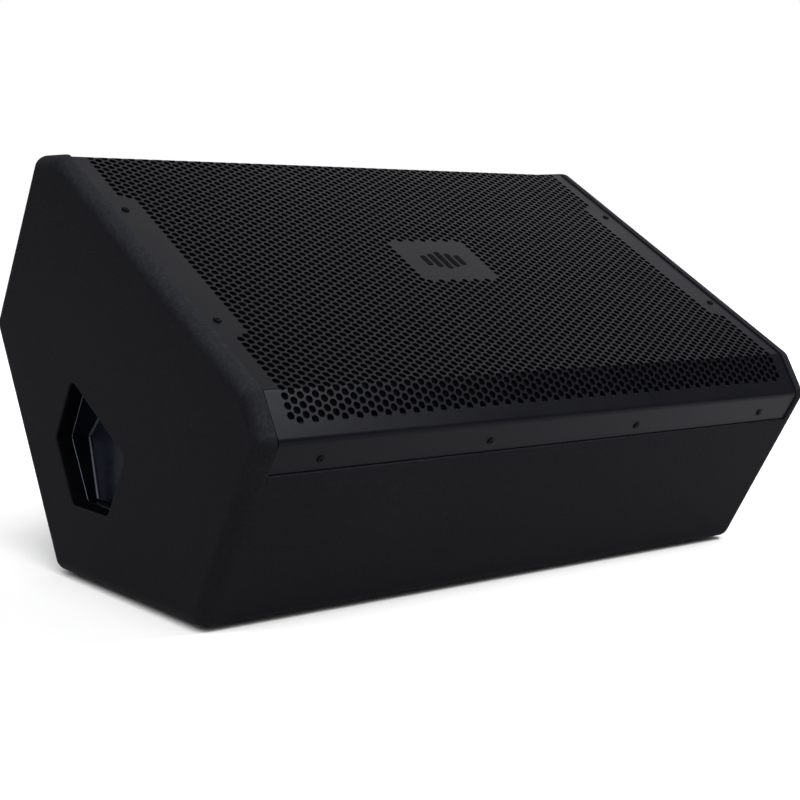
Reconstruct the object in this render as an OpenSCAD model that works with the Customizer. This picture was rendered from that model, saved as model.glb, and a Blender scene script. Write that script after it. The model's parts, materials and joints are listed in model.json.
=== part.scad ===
// Two-way stage monitor wedge: plywood cabinet, folded perforated grille,
// 12 inch woofer, horn with compression driver, recessed end handles.
// Most sub-parts are drawn in the baffle frame: X across the cabinet, Y up the
// slope of the grille, Z straight out of the grille. cab() tilts that frame.

/* [Cabinet] */
// Width over the two end panels
cab_w = 630.8; // [628:0.4:634]
// Length of the main slanted face
face_len = 354.5; // [351:0.5:358]
// Length of the second facet at each end of the main face
bevel_len = 44; // [42:1:46]
// Height of the front and rear walls, square to the main face
wall_len = 179; // [177:1:182]
// Tilt of the main face, equal to the tilt of each base face from it
tilt = 30; // [29.5:0.5:30.5]
// Thickness of the plywood
ply_t = 16; // [15:0.5:17]
// Radius of the outside edges
edge_r = 12.7; // [10:0.1:13]

/* [Grille] */
// Depth of the grille's outer surface below the end panels' edges
grille_in = 1.75; // [1.5:0.05:2]
// Thickness of the grille sheet
sheet_t = 1.5; // [1.2:0.1:1.6]
// Gap between the grille and each end panel
grille_gap = 0.8; // [0.6:0.1:1.2]
// Level of the folded lip's free edge
lip_end = -51.5; // [-53:0.5:-50]
// Thickness of the foam behind the grille
foam_t = 8; // [5:0.5:9]

/* [Handles] */
// Half width of the hand opening
hand_half = 55; // [52:1:58]
// Level of the hand opening's top edge
hand_top = -155.5; // [-157:0.5:-154]
// Height of the finger space above the opening's top edge, behind the panel
finger_up = 16; // [12:1:18]

/* [Feet] */
// Height of the rubber feet
foot_h = 3.5; // [3:0.25:4]
// Radius of a foot
foot_r = 11; // [9:0.5:12]

/* [Woofer] */
// Distance of the woofer's axis from the cabinet's middle
woofer_x = -118; // [-118:0.5:-116]
// Radius of the basket's flange
basket_r = 157; // [156.5:0.25:157.5]

/* [Horn] */
// Distance of the horn's axis from the cabinet's middle
horn_x = 172; // [171:0.5:173]
// Half width of the horn's flange
horn_half = 105; // [104:0.5:105.5]

/* [Input plate] */
// Level of the plate's middle on the rear wall
plate_v = -125; // [-127:0.5:-124]

/* [Hidden] */
$fn = 64;

hw = cab_w / 2;                       // outer face of an end panel
xi = hw - ply_t;                      // inner face of an end panel
fh = face_len / 2;                    // half of the main face
bev_v = bevel_len * sin(30);          // drop of the second facet
U = fh + bevel_len * cos(30);         // outer face of front and rear walls
Ui = U - ply_t;                       // their inner face
wall_v = -bev_v - wall_len;           // lower end of the walls
apex_v = wall_v - U * tan(tilt);      // ridge where the two base faces meet
y_mid = -(wall_v - bev_v) / 2 * sin(tilt);
z_up = -apex_v * cos(tilt) + foot_h;  // height of the main face's middle
gi = grille_in + sheet_t;             // depth of the grille's inner surface
baf_z = -38;                          // front of the baffle
baf_t = 18;                           // thickness of the baffle
cleat_w = 14;
lip_v = -41.8;                        // level of the lip screws
port_u = 154;                         // distance of each port from the horn's middle
arc_n = 8;                            // steps in each rounded corner

// Outline of the cabinet, seen from its right end, anticlockwise
OUT = [[0, apex_v], [U, wall_v], [U, -bev_v], [fh, 0],
       [-fh, 0], [-U, -bev_v], [-U, wall_v]];
iE = 0; iD = 1; iC = 2; iB = 3; iA = 4; iG = 5; iF = 6;

// Outline of the hand opening and of the space behind it
hand_side = hand_top - 62;
hand_low = hand_side - hand_half * tan(30);
HAND = [[0, hand_low], [hand_half, hand_side], [hand_half, hand_top],
        [-hand_half, hand_top], [-hand_half, hand_side]];
CUP = [[0, hand_low], [hand_half, hand_side],
       [hand_half, hand_top + finger_up],
       [-hand_half, hand_top + finger_up], [-hand_half, hand_side]];
cup_wall = 3;
cup_slant = 0.237;                    // lean of the cup's back
cup_deep = 24.2;                      // depth of its back at the lowest corner
cup_in = 1.3;                         // how far its walls stand inside the opening
CUP_SCREWS = [[64.5, hand_top + 7.5], [64.5, hand_top - 56.5],
              [-64.5, hand_top + 7.5], [-64.5, hand_top - 56.5],
              [0, hand_top + 26], [0, hand_low - 9.5]];

GRILLE_SIDE = [[288.7, 84.5], [288.7, -84.5], [-288.7, 84.5], [-288.7, -84.5]];
GRILLE_LIP = [-255.5, -86, 86, 255.5];
FEET = [[270, -118], [-270, -118], [270, 82], [-270, 82]];
PLATE_SCREWS = [[73.5, 43.5], [-73.5, 43.5], [73.5, -43.5], [-73.5, -43.5],
                [0, 43.5], [0, -43.5]];
HORN_SCREWS = [for (x = [-98, 0, 98]) for (y = [-98, 0, 98])
               if (x != 0 || y != 0) [x, y]];

// ---------- outline functions ----------
function nrm(p, q) = [q.y - p.y, p.x - q.x] / norm(q - p);
function at(V, i) = V[(i + len(V)) % len(V)];
function ins(V, i, d) =
  let (a = nrm(at(V, i - 1), at(V, i)), b = nrm(at(V, i), at(V, i + 1)))
  at(V, i) - d * (a + b) / (1 + a * b);
function inset(V, d) = [for (i = [0:len(V) - 1]) ins(V, i, d)];
function corner(V, i, rc, d, k0, k1, n = arc_n) =
  let (a = nrm(at(V, i - 1), at(V, i)), b = nrm(at(V, i), at(V, i + 1)),
       c = ins(V, i, rc), t0 = atan2(a.y, a.x), turn = acos(a * b))
  [for (k = [k0:k1]) c + (rc - d) * [cos(t0 + turn * k / n),
                                     sin(t0 + turn * k / n)]];
function rounded(V, rc, d = 0, n = arc_n) =
  [for (i = [0:len(V) - 1]) each corner(V, i, rc, d, 0, n, n)];
// Level of the second facet's inset line at distance u from the middle
function facet_v(u, d) = -bev_v + ((U - u) * sin(30) - d) / cos(30);
function arc(c, r, a0, a1, n) =
  [for (k = [0:n]) let (a = a0 + (a1 - a0) * k / n) c + r * [cos(a), sin(a)]];
function rev(v) = [for (i = [len(v) - 1:-1:0]) v[i]];

// ---------- frames ----------
module cab() { translate([0, -y_mid, z_up]) rotate([tilt, 0, 0]) children(); }
module uncab() { rotate([-tilt, 0, 0]) translate([0, y_mid, -z_up]) children(); }
// Outline in the (slope, normal) plane, extruded across the cabinet
module across(x0, x1) {
  translate([x0, 0, 0]) rotate([90, 0, 90]) linear_extrude(x1 - x0) children();
}
module on_rear() { translate([0, U, plate_v]) rotate([-90, 0, 0]) children(); }
module at_woofer() { cab() translate([woofer_x, 0, 0]) children(); }
module at_horn() { cab() translate([horn_x, 0, 0]) children(); }
module both_lips() {
  for (x = GRILLE_LIP) {
    translate([x, -(U - grille_in), lip_v]) rotate([90, 0, 0]) children();
    translate([x, U - grille_in, lip_v]) rotate([-90, 0, 0]) children();
  }
}
module rbox(x, y, z, r) {
  linear_extrude(z) polygon(rounded([[-x / 2, -y / 2], [x / 2, -y / 2],
    [x / 2, y / 2], [-x / 2, y / 2]], r, 0, 6));
}

// ---------- fasteners ----------
// Cross-recess pan head screw: underside of the head at z = 0
module pan_screw(rh, hh, rs, l) {
  difference() {
    union() {
      cylinder(h = hh * 0.55, r = rh);
      translate([0, 0, hh * 0.55]) cylinder(h = hh * 0.45, r1 = rh, r2 = rh * 0.72);
      translate([0, 0, -l]) cylinder(h = l, r = rs);
    }
    for (a = [0, 90]) rotate([0, 0, a])
      translate([-rh * 0.5, -rh * 0.11, hh * 0.35]) cube([rh, rh * 0.22, hh]);
  }
}

// ---------- cabinet ----------
module end_panel_body() {
  hull() {
    across(xi, hw - edge_r) polygon(rounded(OUT, edge_r));
    for (a = [15:15:75]) across(hw - edge_r + edge_r * sin(a) - 0.02,
                                hw - edge_r + edge_r * sin(a))
      polygon(rounded(OUT, edge_r, edge_r * (1 - cos(a))));
    across(hw - 0.02, hw) polygon(inset(OUT, edge_r));
  }
}
module right_end_solid() {
  difference() {
    end_panel_body();
    across(xi - 1, hw + 1) polygon(rounded(HAND, 7, 0, 6));
    for (p = CUP_SCREWS) translate([xi - 1, p.x, p.y]) rotate([0, 90, 0])
      cylinder(h = 12, r = 1.65);
  }
}
module right_end_panel() { color("#1b1b1c") cab() right_end_solid(); }
module left_end_panel() { color("#1b1b1c") cab() mirror([1, 0, 0]) right_end_solid(); }

module wall_section() {
  polygon(concat(
    [[-(U - gi - 2.6), facet_v(U - gi - 2.6, gi)], [-(U - gi), facet_v(U - gi, gi) - 2.8],
     [-(U - gi), lip_end - 1.5], [-U, lip_end - 1.5]],
    corner(OUT, iF, edge_r, 0, 0, arc_n / 2),
    [ins(OUT, iF, ply_t), [-Ui, facet_v(Ui, gi)]]));
}
module wall_solid() {
  difference() {
    across(-xi, xi) wall_section();
    for (x = GRILLE_LIP) translate([x, -(U - gi) - 1, lip_v]) rotate([-90, 0, 0])
      cylinder(h = 12, r = 1.65);
  }
}
module front_panel() { color("#1c1c1d") cab() wall_solid(); }
module rear_panel() {
  color("#1c1c1d") cab() difference() {
    mirror([0, 1, 0]) wall_solid();
    on_rear() {
      translate([0, 0, -3]) rbox(160, 100, 5, 6);
      translate([0, 0, -20]) rbox(138, 78, 22, 8);
      for (p = PLATE_SCREWS) translate([p.x, p.y, -13]) cylinder(h = 12, r = 1.45);
    }
  }
}
module base_section() {
  polygon(concat(
    corner(OUT, iF, edge_r, 0, arc_n / 2, arc_n),
    corner(OUT, iE, edge_r, 0, 0, arc_n / 2),
    [ins(OUT, iE, ply_t), ins(OUT, iF, ply_t)]));
}
module foot_pilots() {
  for (p = FEET) translate([p.x, p.y, foot_h - 1]) cylinder(h = 12.5, r = 1.65);
}
module bottom_panel() {
  color("#19191a") difference() {
    cab() across(-xi, xi) base_section();
    foot_pilots();
    board_at() for (x = [-52, 52]) for (y = [-42, 42])
      translate([x, y, -10]) cylinder(h = 11, r = 1.55);
  }
}
module rear_lower_panel() {
  color("#19191a") cab() mirror([0, 1, 0]) difference() {
    across(-xi, xi) base_section();
    uncab() foot_pilots();
  }
}
module baffle() {
  color("#2a2320") cab() difference() {
    translate([-xi, -Ui, baf_z - baf_t]) cube([2 * xi, 2 * Ui, baf_t]);
    translate([woofer_x, 0, baf_z - baf_t - 1]) {
      cylinder(h = baf_t + 2, r = 141, $fn = 96);
      for (a = [22.5:45:337.5]) rotate([0, 0, a]) translate([151, 0, 3])
        cylinder(h = baf_t, r = 2.05);
    }
    translate([horn_x, 0, baf_z - baf_t - 1]) {
      translate([-91, -91, 0]) cube([182, 182, baf_t + 2]);
      for (p = HORN_SCREWS) translate([p.x, p.y, 3]) cylinder(h = baf_t, r = 1.85);
      for (s = [-1, 1]) translate([0, s * port_u, 0]) cylinder(h = baf_t + 2, r = 39.3);
    }
  }
}
module baffle_battens() {
  color("#c9a66b") cab() for (s = [0, 1]) mirror([s, 0, 0])
    translate([xi - cleat_w, -180, baf_z - baf_t - cleat_w]) cube([cleat_w, 360, cleat_w]);
}
module grille_cleats() {
  color("#2a2320") cab() for (s = [0, 1]) mirror([s, 0, 0]) difference() {
    translate([xi - cleat_w, -(fh - 2), baf_z]) cube([cleat_w, 2 * (fh - 2), -gi - baf_z]);
    for (y = [-84.5, 84.5]) translate([288.7, y, -16]) cylinder(h = 14, r = 1.65);
  }
}
module inner_brace() {
  color("#c9a66b") cab() translate([34, -Ui, -191.5]) cube([16, 2 * Ui, 24]);
}

// ---------- handles ----------
// Everything behind the cup's leaning back, moved inwards by g
module behind_back(g) {
  translate([hw - cup_deep - g / cos(atan(cup_slant)), 0, hand_top - 96.5]) rotate([0, -atan(cup_slant), 0])
    translate([-100, -250, -250]) cube([100, 500, 500]);
}
module right_cup_solid() {
  difference() {
    union() {
      difference() {
        across(hw - 75, xi) polygon(rounded(inset(CUP, cup_in - cup_wall), 9, 0, 6));
        behind_back(cup_wall);
      }
      across(xi - 3, xi) polygon(rounded(inset(CUP, -15), 14, 0, 6));
      // collar that seats in the opening, left open along the top
      difference() {
        across(xi - 1, xi + 1.4) polygon(rounded(HAND, 7, 0.15, 6));
        translate([xi, -80, hand_top - 4]) cube([10, 160, 40]);
      }
    }
    difference() {
      across(hw - 75, xi + 2) polygon(rounded(CUP, 7, cup_in, 6));
      behind_back(0);
    }
    for (p = CUP_SCREWS) translate([xi - 4, p.x, p.y]) rotate([0, 90, 0])
      cylinder(h = 6, r = 2);
  }
}
module right_handle_cup() { color("#101114") cab() right_cup_solid(); }
module left_handle_cup() { color("#101114") cab() mirror([1, 0, 0]) right_cup_solid(); }
module handle_screws() {
  color("#3a3a3c") cab() for (s = [0, 1]) mirror([s, 0, 0]) for (p = CUP_SCREWS)
    translate([xi - 3, p.x, p.y]) rotate([0, -90, 0]) pan_screw(3.6, 2.2, 1.6, 13);
}

// ---------- grille ----------
function grille_line(d) = concat([[U - d, lip_end]],
  corner(OUT, iC, grille_in + 5.5, d, 0, 5, 5),
  corner(OUT, iB, grille_in + 2.5, d, 0, 4, 4),
  corner(OUT, iA, grille_in + 2.5, d, 0, 4, 4),
  corner(OUT, iG, grille_in + 5.5, d, 0, 5, 5), [[-(U - d), lip_end]]);
module grille() {
  color("#2c2d30") cab() difference() {
    across(-(xi - grille_gap), xi - grille_gap)
      polygon(concat(grille_line(grille_in), rev(grille_line(gi))));
    for (p = GRILLE_SIDE) translate([p.x, p.y, -gi - 1]) cylinder(h = sheet_t + 2, r = 2.1);
    both_lips() translate([0, 0, -sheet_t - 1]) cylinder(h = sheet_t + 2, r = 2.1);
  }
}
module grille_foam() {
  fx = xi - cleat_w - 1;
  d0 = gi + 0.5;
  d1 = d0 + foam_t;
  ue = Ui - 2.5;
  color("#141415") cab() across(-fx, fx) polygon([
    [ue, facet_v(ue, d0)], ins(OUT, iB, d0), ins(OUT, iA, d0), [-ue, facet_v(ue, d0)],
    [-ue, facet_v(ue, d1)], ins(OUT, iA, d1), ins(OUT, iB, d1), [ue, facet_v(ue, d1)]]);
}
module grille_screws() {
  color("#242426") cab() {
    for (p = GRILLE_SIDE) translate([p.x, p.y, -grille_in]) pan_screw(4, 1.5, 1.6, 14);
    both_lips() pan_screw(4, 1.5, 1.6, 12);
  }
}
// Generic sign on the grille's blank patch: five bars of different lengths
module badge_mark() {
  color("#111113") cab() for (i = [-2:2])
    translate([i * 10, 0, -grille_in]) rbox(6, 28 - 6 * abs(i), 0.3, 1.6);
}

// ---------- feet ----------
module feet() {
  for (p = FEET) translate([p.x, p.y, 0]) difference() {
    cylinder(h = foot_h, r1 = foot_r - 0.8, r2 = foot_r);
    translate([0, 0, -1]) cylinder(h = foot_h - 0.2, r = 4.4);
    translate([0, 0, -1]) cylinder(h = foot_h + 2, r = 1.8);
  }
}
module foot_screw_set() {
  for (p = FEET) translate([p.x, p.y, foot_h - 1.2]) mirror([0, 0, 1])
    pan_screw(3.8, 1.5, 1.6, 12);
}
module bottom_feet() { color("#0e0e0e") feet(); }
module rear_feet() { color("#0e0e0e") cab() mirror([0, 1, 0]) uncab() feet(); }
module foot_screws() {
  color("#6a6a6c") {
    foot_screw_set();
    cab() mirror([0, 1, 0]) uncab() foot_screw_set();
  }
}

// ---------- woofer ----------
module woofer_basket() {
  color("#2b2c2e") at_woofer() difference() {
    rotate_extrude($fn = 96) polygon([[basket_r, -34], [basket_r, -38], [140, -38],
      [86, -108], [86, -118], [40, -118], [40, -115], [83, -115], [83, -107],
      [76, -107], [76, -105], [84.5, -105], [137.5, -37], [137.5, -34]]);
    for (a = [0:60:300]) rotate([0, 0, a]) translate([80, -22, -98]) cube([66, 44, 48]);
    for (a = [22.5:45:337.5]) rotate([0, 0, a]) translate([151, 0, -40])
      cylinder(h = 8, r = 2.3);
  }
}
module woofer_gasket() {
  color("#18181a") at_woofer() rotate_extrude($fn = 96)
    polygon([[140, -33.4], [147, -33.4], [147, -30.4], [140, -30.4]]);
}
module woofer_surround() {
  color("#1d1d1f") at_woofer() rotate_extrude($fn = 96) polygon(concat(
    [[146, -34], [146, -33.4]], arc([132, -33.4], 7, 0, 180, 16),
    [[118, -33.4], [118, -34], [125.6, -34]],
    arc([132, -33.4], 6.4, 180, 0, 16), [[138.4, -34]]));
}
module woofer_cone() {
  color("#232325") at_woofer() rotate_extrude($fn = 96) polygon([[125, -34], [118, -34],
    [33.6, -96], [32.1, -96], [32.1, -97], [34, -97], [118.5, -34.8], [125, -34.8]]);
}
module woofer_dust_cap() {
  rs = 82.6;
  zc = -155.5;
  color("#1a1a1c") at_woofer() rotate_extrude($fn = 96) polygon(concat(
    arc([0, zc], rs, 56.2, 88, 10), [[0, zc + rs]], [[0, zc + rs - 0.8]],
    arc([0, zc], rs - 0.8, 88, 56.2, 10)));
}
module woofer_voice_coil() {
  color("#b4722e") at_woofer() rotate_extrude($fn = 96) polygon([[31.7, -131], [32.1, -131],
    [32.1, -129], [33, -129], [33, -115], [32.1, -115], [32.1, -92], [31.7, -92]]);
}
module woofer_spider() {
  z0 = -104;
  n = 9;
  function wave(k) = z0 + (k % 2 == 0 ? 1.2 : -0.2);
  color("#b8894f") at_woofer() rotate_extrude($fn = 96) polygon(concat(
    [[32.1, z0], [36, z0]], [for (k = [0:n]) [39 + k * 3.6, wave(k) + 0.6]],
    [[76, z0 - 0.3], [82, z0 - 0.3], [82, z0 - 1], [75, z0 - 1]],
    [for (k = [n:-1:0]) [39 + k * 3.6, wave(k)]], [[36.4, z0 - 0.7], [32.1, z0 - 0.7]]));
}
module woofer_top_plate() {
  color("#a8a9ab") at_woofer() translate([0, 0, -126]) difference() {
    cylinder(h = 8, r = 75);
    translate([0, 0, -1]) cylinder(h = 10, r = 33.6);
  }
}
module woofer_magnet() {
  color("#4a4a4d") at_woofer() translate([0, 0, -146]) difference() {
    cylinder(h = 20, r = 78);
    translate([0, 0, -1]) cylinder(h = 22, r = 40);
  }
}
module woofer_back_plate() {
  color("#a8a9ab") at_woofer() difference() {
    union() {
      translate([0, 0, -154]) cylinder(h = 8, r = 75);
      translate([0, 0, -150]) cylinder(h = 34, r = 31);
    }
    translate([0, 0, -155]) cylinder(h = 40, r = 9);
  }
}
module woofer_terminals() {
  color("#7a1a1a") at_woofer() translate([-9, 79, -125]) difference() {
    cube([18, 6, 7]);
    for (x = [4, 12]) translate([x, 2, -1]) cube([2, 2, 5]);
  }
}
module woofer_screws() {
  color("#242426") at_woofer() for (a = [22.5:45:337.5]) rotate([0, 0, a])
    translate([151, 0, -34]) pan_screw(3.8, 2.4, 2, 18);
}

// ---------- horn and compression driver ----------
module slab(x, y, z) { translate([-x / 2, -y / 2, z]) cube([x, y, 0.02]); }
module horn() {
  color("#17181a") at_horn() difference() {
    union() {
      translate([0, 0, -38]) rbox(2 * horn_half, 2 * horn_half, 5, 10);
      hull() { slab(180, 180, -38); slab(96, 76, -90); }
      hull() { slab(96, 76, -90); translate([0, 0, -134]) cylinder(h = 0.02, r = 20, $fn = 32); }
      translate([0, 0, -138]) cylinder(h = 4.2, r = 42);
    }
    hull() { slab(174, 174, -32.9); slab(90, 70, -90); }
    hull() { slab(90, 70, -89.9); translate([0, 0, -134]) cylinder(h = 0.02, r = 12.6, $fn = 32); }
    translate([0, 0, -139]) cylinder(h = 6, r = 12.7);
    for (p = HORN_SCREWS) translate([p.x, p.y, -39]) cylinder(h = 8, r = 2.1);
    for (a = [45:90:315]) rotate([0, 0, a]) translate([34, 0, -139]) cylinder(h = 6, r = 2.7);
  }
}
module horn_screws() {
  color("#242426") at_horn() for (p = HORN_SCREWS) translate([p.x, p.y, -33])
    pan_screw(3.6, 2.2, 1.8, 19);
}
module driver_front_plate() {
  color("#3b3c3f") at_horn() translate([0, 0, -150]) difference() {
    cylinder(h = 12, r = 50);
    translate([0, 0, -1]) cylinder(h = 14, r = 12.7);
    for (a = [45:90:315]) rotate([0, 0, a]) translate([34, 0, 1.5]) cylinder(h = 12, r = 2.6);
  }
}
module driver_magnet() {
  color("#4a4a4d") at_horn() translate([0, 0, -170]) difference() {
    cylinder(h = 20, r = 52);
    translate([0, 0, -1]) cylinder(h = 22, r = 27);
  }
}
module driver_pole() {
  color("#a8a9ab") at_horn() translate([0, 0, -176]) difference() {
    cylinder(h = 26, r = 22);
    translate([0, 0, -1]) cylinder(h = 28, r = 10);
  }
}
module driver_rear_plate() {
  color("#a8a9ab") at_horn() translate([0, 0, -176]) difference() {
    cylinder(h = 6, r = 50);
    translate([0, 0, -1]) cylinder(h = 8, r = 24.4);
  }
}
module driver_diaphragm() {
  rs = 38.2;
  zc = -148.2;
  color("#c8c8cc") at_horn() rotate_extrude() polygon(concat(
    [[23, -168], [23.5, -168], [23.5, -177.6], [27, -177.6], [27, -178], [23.5, -178]],
    arc([0, zc], rs, -51.6, -88, 8), [[0, zc - rs]], [[0, zc - rs + 0.5]],
    arc([0, zc], rs - 0.5, -88, -52.4, 8)));
}
module driver_ring() {
  color("#8c6a3c") at_horn() translate([0, 0, -179]) difference() {
    cylinder(h = 3, r = 44);
    translate([0, 0, -1]) cylinder(h = 5, r = 28.5);
  }
}
module driver_cap() {
  color("#222326") at_horn() difference() {
    union() {
      translate([0, 0, -191]) cylinder(h = 15, r = 47.5);
      translate([0, 0, -194]) cylinder(h = 3, r1 = 45, r2 = 47.5);
    }
    translate([0, 0, -191]) cylinder(h = 16, r = 44.3);
  }
}
module driver_bolts() {
  color("#7c7d80") at_horn() for (a = [45:90:315]) rotate([0, 0, a])
    translate([34, 0, -134]) {
      translate([0, 0, 0.2]) cylinder(h = 3.6, r = 4.4, $fn = 6);
      translate([0, 0, -14]) cylinder(h = 14.3, r = 2.5);
    }
}
module port_tubes() {
  color("#15161a") at_horn() for (s = [-1, 1]) translate([0, s * port_u, 0]) difference() {
    union() {
      translate([0, 0, -148]) cylinder(h = 111, r = 39);
      translate([0, 0, -38]) cylinder(h = 3, r = 44);
    }
    translate([0, 0, -149]) cylinder(h = 116, r = 36);
  }
}

// ---------- input plate ----------
module input_gasket() {
  color("#101010") cab() on_rear() translate([0, 0, -3]) difference() {
    rbox(158, 98, 0.8, 5);
    translate([0, 0, -1]) rbox(138, 78, 3, 8);
    for (p = PLATE_SCREWS) translate([p.x, p.y, -1]) cylinder(h = 3, r = 1.9);
  }
}
module input_dish() {
  color("#16171a") cab() on_rear() difference() {
    union() {
      translate([0, 0, -2.2]) rbox(158, 98, 2.2, 5);
      translate([0, 0, -24]) rbox(136, 76, 22, 7);
    }
    translate([0, 0, -21]) rbox(130, 70, 22, 4);
    for (x = [-42, -8]) translate([x, 0, -25]) cylinder(h = 5, r = 12);
    translate([24, 0, -25]) cylinder(h = 5, r = 5.6);
    translate([43, -4, -25]) cube([14, 8, 5]);
    for (p = PLATE_SCREWS) translate([p.x, p.y, -3]) cylinder(h = 4, r = 1.9);
  }
}
module speaker_sockets() {
  color("#26272b") cab() on_rear() for (x = [-42, -8]) translate([x, 0, 0]) difference() {
    union() {
      translate([0, 0, -21]) rbox(27, 30, 2, 3);
      translate([0, 0, -42]) cylinder(h = 22, r = 11.7);
    }
    translate([0, 0, -39]) cylinder(h = 22, r = 9.9);
  }
}
module jack_socket() {
  color("#2e2f33") cab() on_rear() translate([24, 0, 0]) difference() {
    union() {
      translate([0, 0, -21]) cylinder(h = 3, r = 7.5, $fn = 6);
      translate([0, 0, -25]) cylinder(h = 5, r = 5.3);
      translate([-8, -10, -48]) cube([16, 20, 24]);
    }
    translate([0, 0, -46]) cylinder(h = 30, r = 3.3);
  }
}
module switch_body() {
  color("#303136") cab() on_rear() translate([50, 0, 0]) difference() {
    union() {
      translate([-10, -6, -21]) cube([20, 12, 1.2]);
      translate([-6.7, -3.7, -33]) cube([13.4, 7.4, 12.5]);
    }
    translate([-4.5, -2.5, -31]) cube([9, 5, 14]);
  }
}
module switch_lever() {
  color("#d8d8d4") cab() on_rear() translate([48, 0, 0]) union() {
    translate([-2, -2.1, -30.6]) cube([4, 4.2, 12.6]);
    translate([-1.7, -1.8, -18]) cube([3.4, 3.6, 1]);
  }
}
module input_screws() {
  color("#242426") cab() on_rear() for (p = PLATE_SCREWS)
    translate([p.x, p.y, 0]) pan_screw(3, 1.8, 1.4, 12);
}

// ---------- crossover, on the bottom panel ----------
module board_at() { translate([-30, 10, foot_h + ply_t]) children(); }
module board_standoffs() {
  color("#c8b46a") board_at() for (x = [-52, 52]) for (y = [-42, 42])
    translate([x, y, 0]) difference() {
      cylinder(h = 8, r = 4);
      translate([0, 0, -1]) cylinder(h = 10, r = 1.8);
    }
}
module crossover_board() {
  color("#2f6b3a") board_at() translate([0, 0, 8]) difference() {
    translate([-60, -50, 0]) cube([120, 100, 1.6]);
    for (x = [-52, 52]) for (y = [-42, 42]) translate([x, y, -1]) cylinder(h = 4, r = 1.8);
  }
}
module board_screws() {
  color("#b0b0b2") board_at() for (x = [-52, 52]) for (y = [-42, 42])
    translate([x, y, 9.6]) pan_screw(3, 1.8, 1.5, 19);
}
module crossover_coils() {
  color("#b4722e") board_at() {
    translate([-28, 18, 9.6]) difference() {
      cylinder(h = 22, r = 24);
      translate([0, 0, -1]) cylinder(h = 24, r = 10);
    }
    translate([28, 22, 9.6]) difference() {
      cylinder(h = 14, r = 15);
      translate([0, 0, -1]) cylinder(h = 16, r = 7);
    }
  }
}
module crossover_capacitors() {
  color("#33507a") board_at() for (k = [0:2])
    translate([-36 + 30 * k, -16, 20]) rotate([90, 0, 0]) cylinder(h = 30, r = 10.4 - 1.2 * k);
}
module crossover_resistors() {
  color("#e6e4da") board_at() for (k = [0, 1])
    translate([46, -32 + k * 20, 9.6]) cube([9, 9 , 26]);
}

// ---------- internal leads ----------
function unit(v) = v / norm(v);
function way(P, i) = unit(P[min(i + 1, len(P) - 1)] - P[max(i - 1, 0)]);
// Tube of radius r along the points P
module lead(P, r, m = 8) {
  n = len(P);
  pts = [for (i = [0:n - 1]) let (t = way(P, i),
           a = unit(cross(t, abs(t.x) < 0.8 ? [1, 0, 0] : [0, 1, 0])), b = cross(t, a))
         for (k = [0:m - 1]) P[i] + r * (a * cos(360 * k / m) + b * sin(360 * k / m))];
  polyhedron(pts, concat([[for (k = [0:m - 1]) k]],
    [for (i = [0:n - 2]) for (k = [0:m - 1])
      [i * m + k, (i + 1) * m + k, (i + 1) * m + (k + 1) % m, i * m + (k + 1) % m]],
    [[for (k = [m - 1:-1:0]) (n - 1) * m + k]]));
}
// Smooth run between two ends with their own directions
function bend(p, dp, q, dq, n) = [for (k = [0:n]) let (t = k / n)
  (2 * t * t * t - 3 * t * t + 1) * p + (t * t * t - 2 * t * t + t) * dp
  + (-2 * t * t * t + 3 * t * t) * q + (t * t * t - t * t) * dq];
function run(p, dp, q, dq, n = 14) =
  concat([p], bend(p + 3 * unit(dp), dp, q - 3 * unit(dq), dq, n), [q]);
// A baffle-frame point and direction in the resting frame
function wp(p) = [p.x, p.y * cos(tilt) - p.z * sin(tilt) - y_mid,
                  p.y * sin(tilt) + p.z * cos(tilt) + z_up];
function wd(p) = [p.x, p.y * cos(tilt) - p.z * sin(tilt), p.y * sin(tilt) + p.z * cos(tilt)];
board_p = [-30, 10, foot_h + ply_t + 9.6];
module woofer_lead() {
  color("#8a2222") lead(run(wp([woofer_x, 82.4, -125]), wd([0, 0, -320]),
    board_p + [-49, 35, 0], [0, 0, -160]), 2.2);
}
module driver_lead() {
  color("#8a2222") lead(run(wp([horn_x - 50, 0, -185]), wd([-90, 0, -40]),
    board_p + [56.5, -17.5, 0], [0, 0, -90]), 2.2);
}
module input_lead() {
  color("#222266") lead(run(wp([-8, U - 42, plate_v]), wd([0, -110, 0]),
    board_p + [0, 44, 0], [0, 0, -130]), 2.6);
}

left_end_panel();
right_end_panel();
front_panel();
rear_panel();
bottom_panel();
rear_lower_panel();
baffle();
baffle_battens();
grille_cleats();
inner_brace();
left_handle_cup();
right_handle_cup();
handle_screws();
grille();
grille_foam();
grille_screws();
badge_mark();
bottom_feet();
rear_feet();
foot_screws();
woofer_basket();
woofer_gasket();
woofer_cone();
woofer_surround();
woofer_dust_cap();
woofer_voice_coil();
woofer_spider();
woofer_top_plate();
woofer_magnet();
woofer_back_plate();
woofer_terminals();
woofer_screws();
horn();
horn_screws();
driver_front_plate();
driver_magnet();
driver_pole();
driver_rear_plate();
driver_diaphragm();
driver_ring();
driver_cap();
driver_bolts();
port_tubes();
input_dish();
input_gasket();
speaker_sockets();
jack_socket();
switch_body();
switch_lever();
input_screws();
crossover_board();
crossover_coils();
crossover_capacitors();
crossover_resistors();
board_standoffs();
board_screws();
woofer_lead();
driver_lead();
input_lead();
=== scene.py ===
import bpy, bmesh, json, math
import numpy as np
from mathutils import Vector, Matrix
from mathutils.geometry import tessellate_polygon


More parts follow.
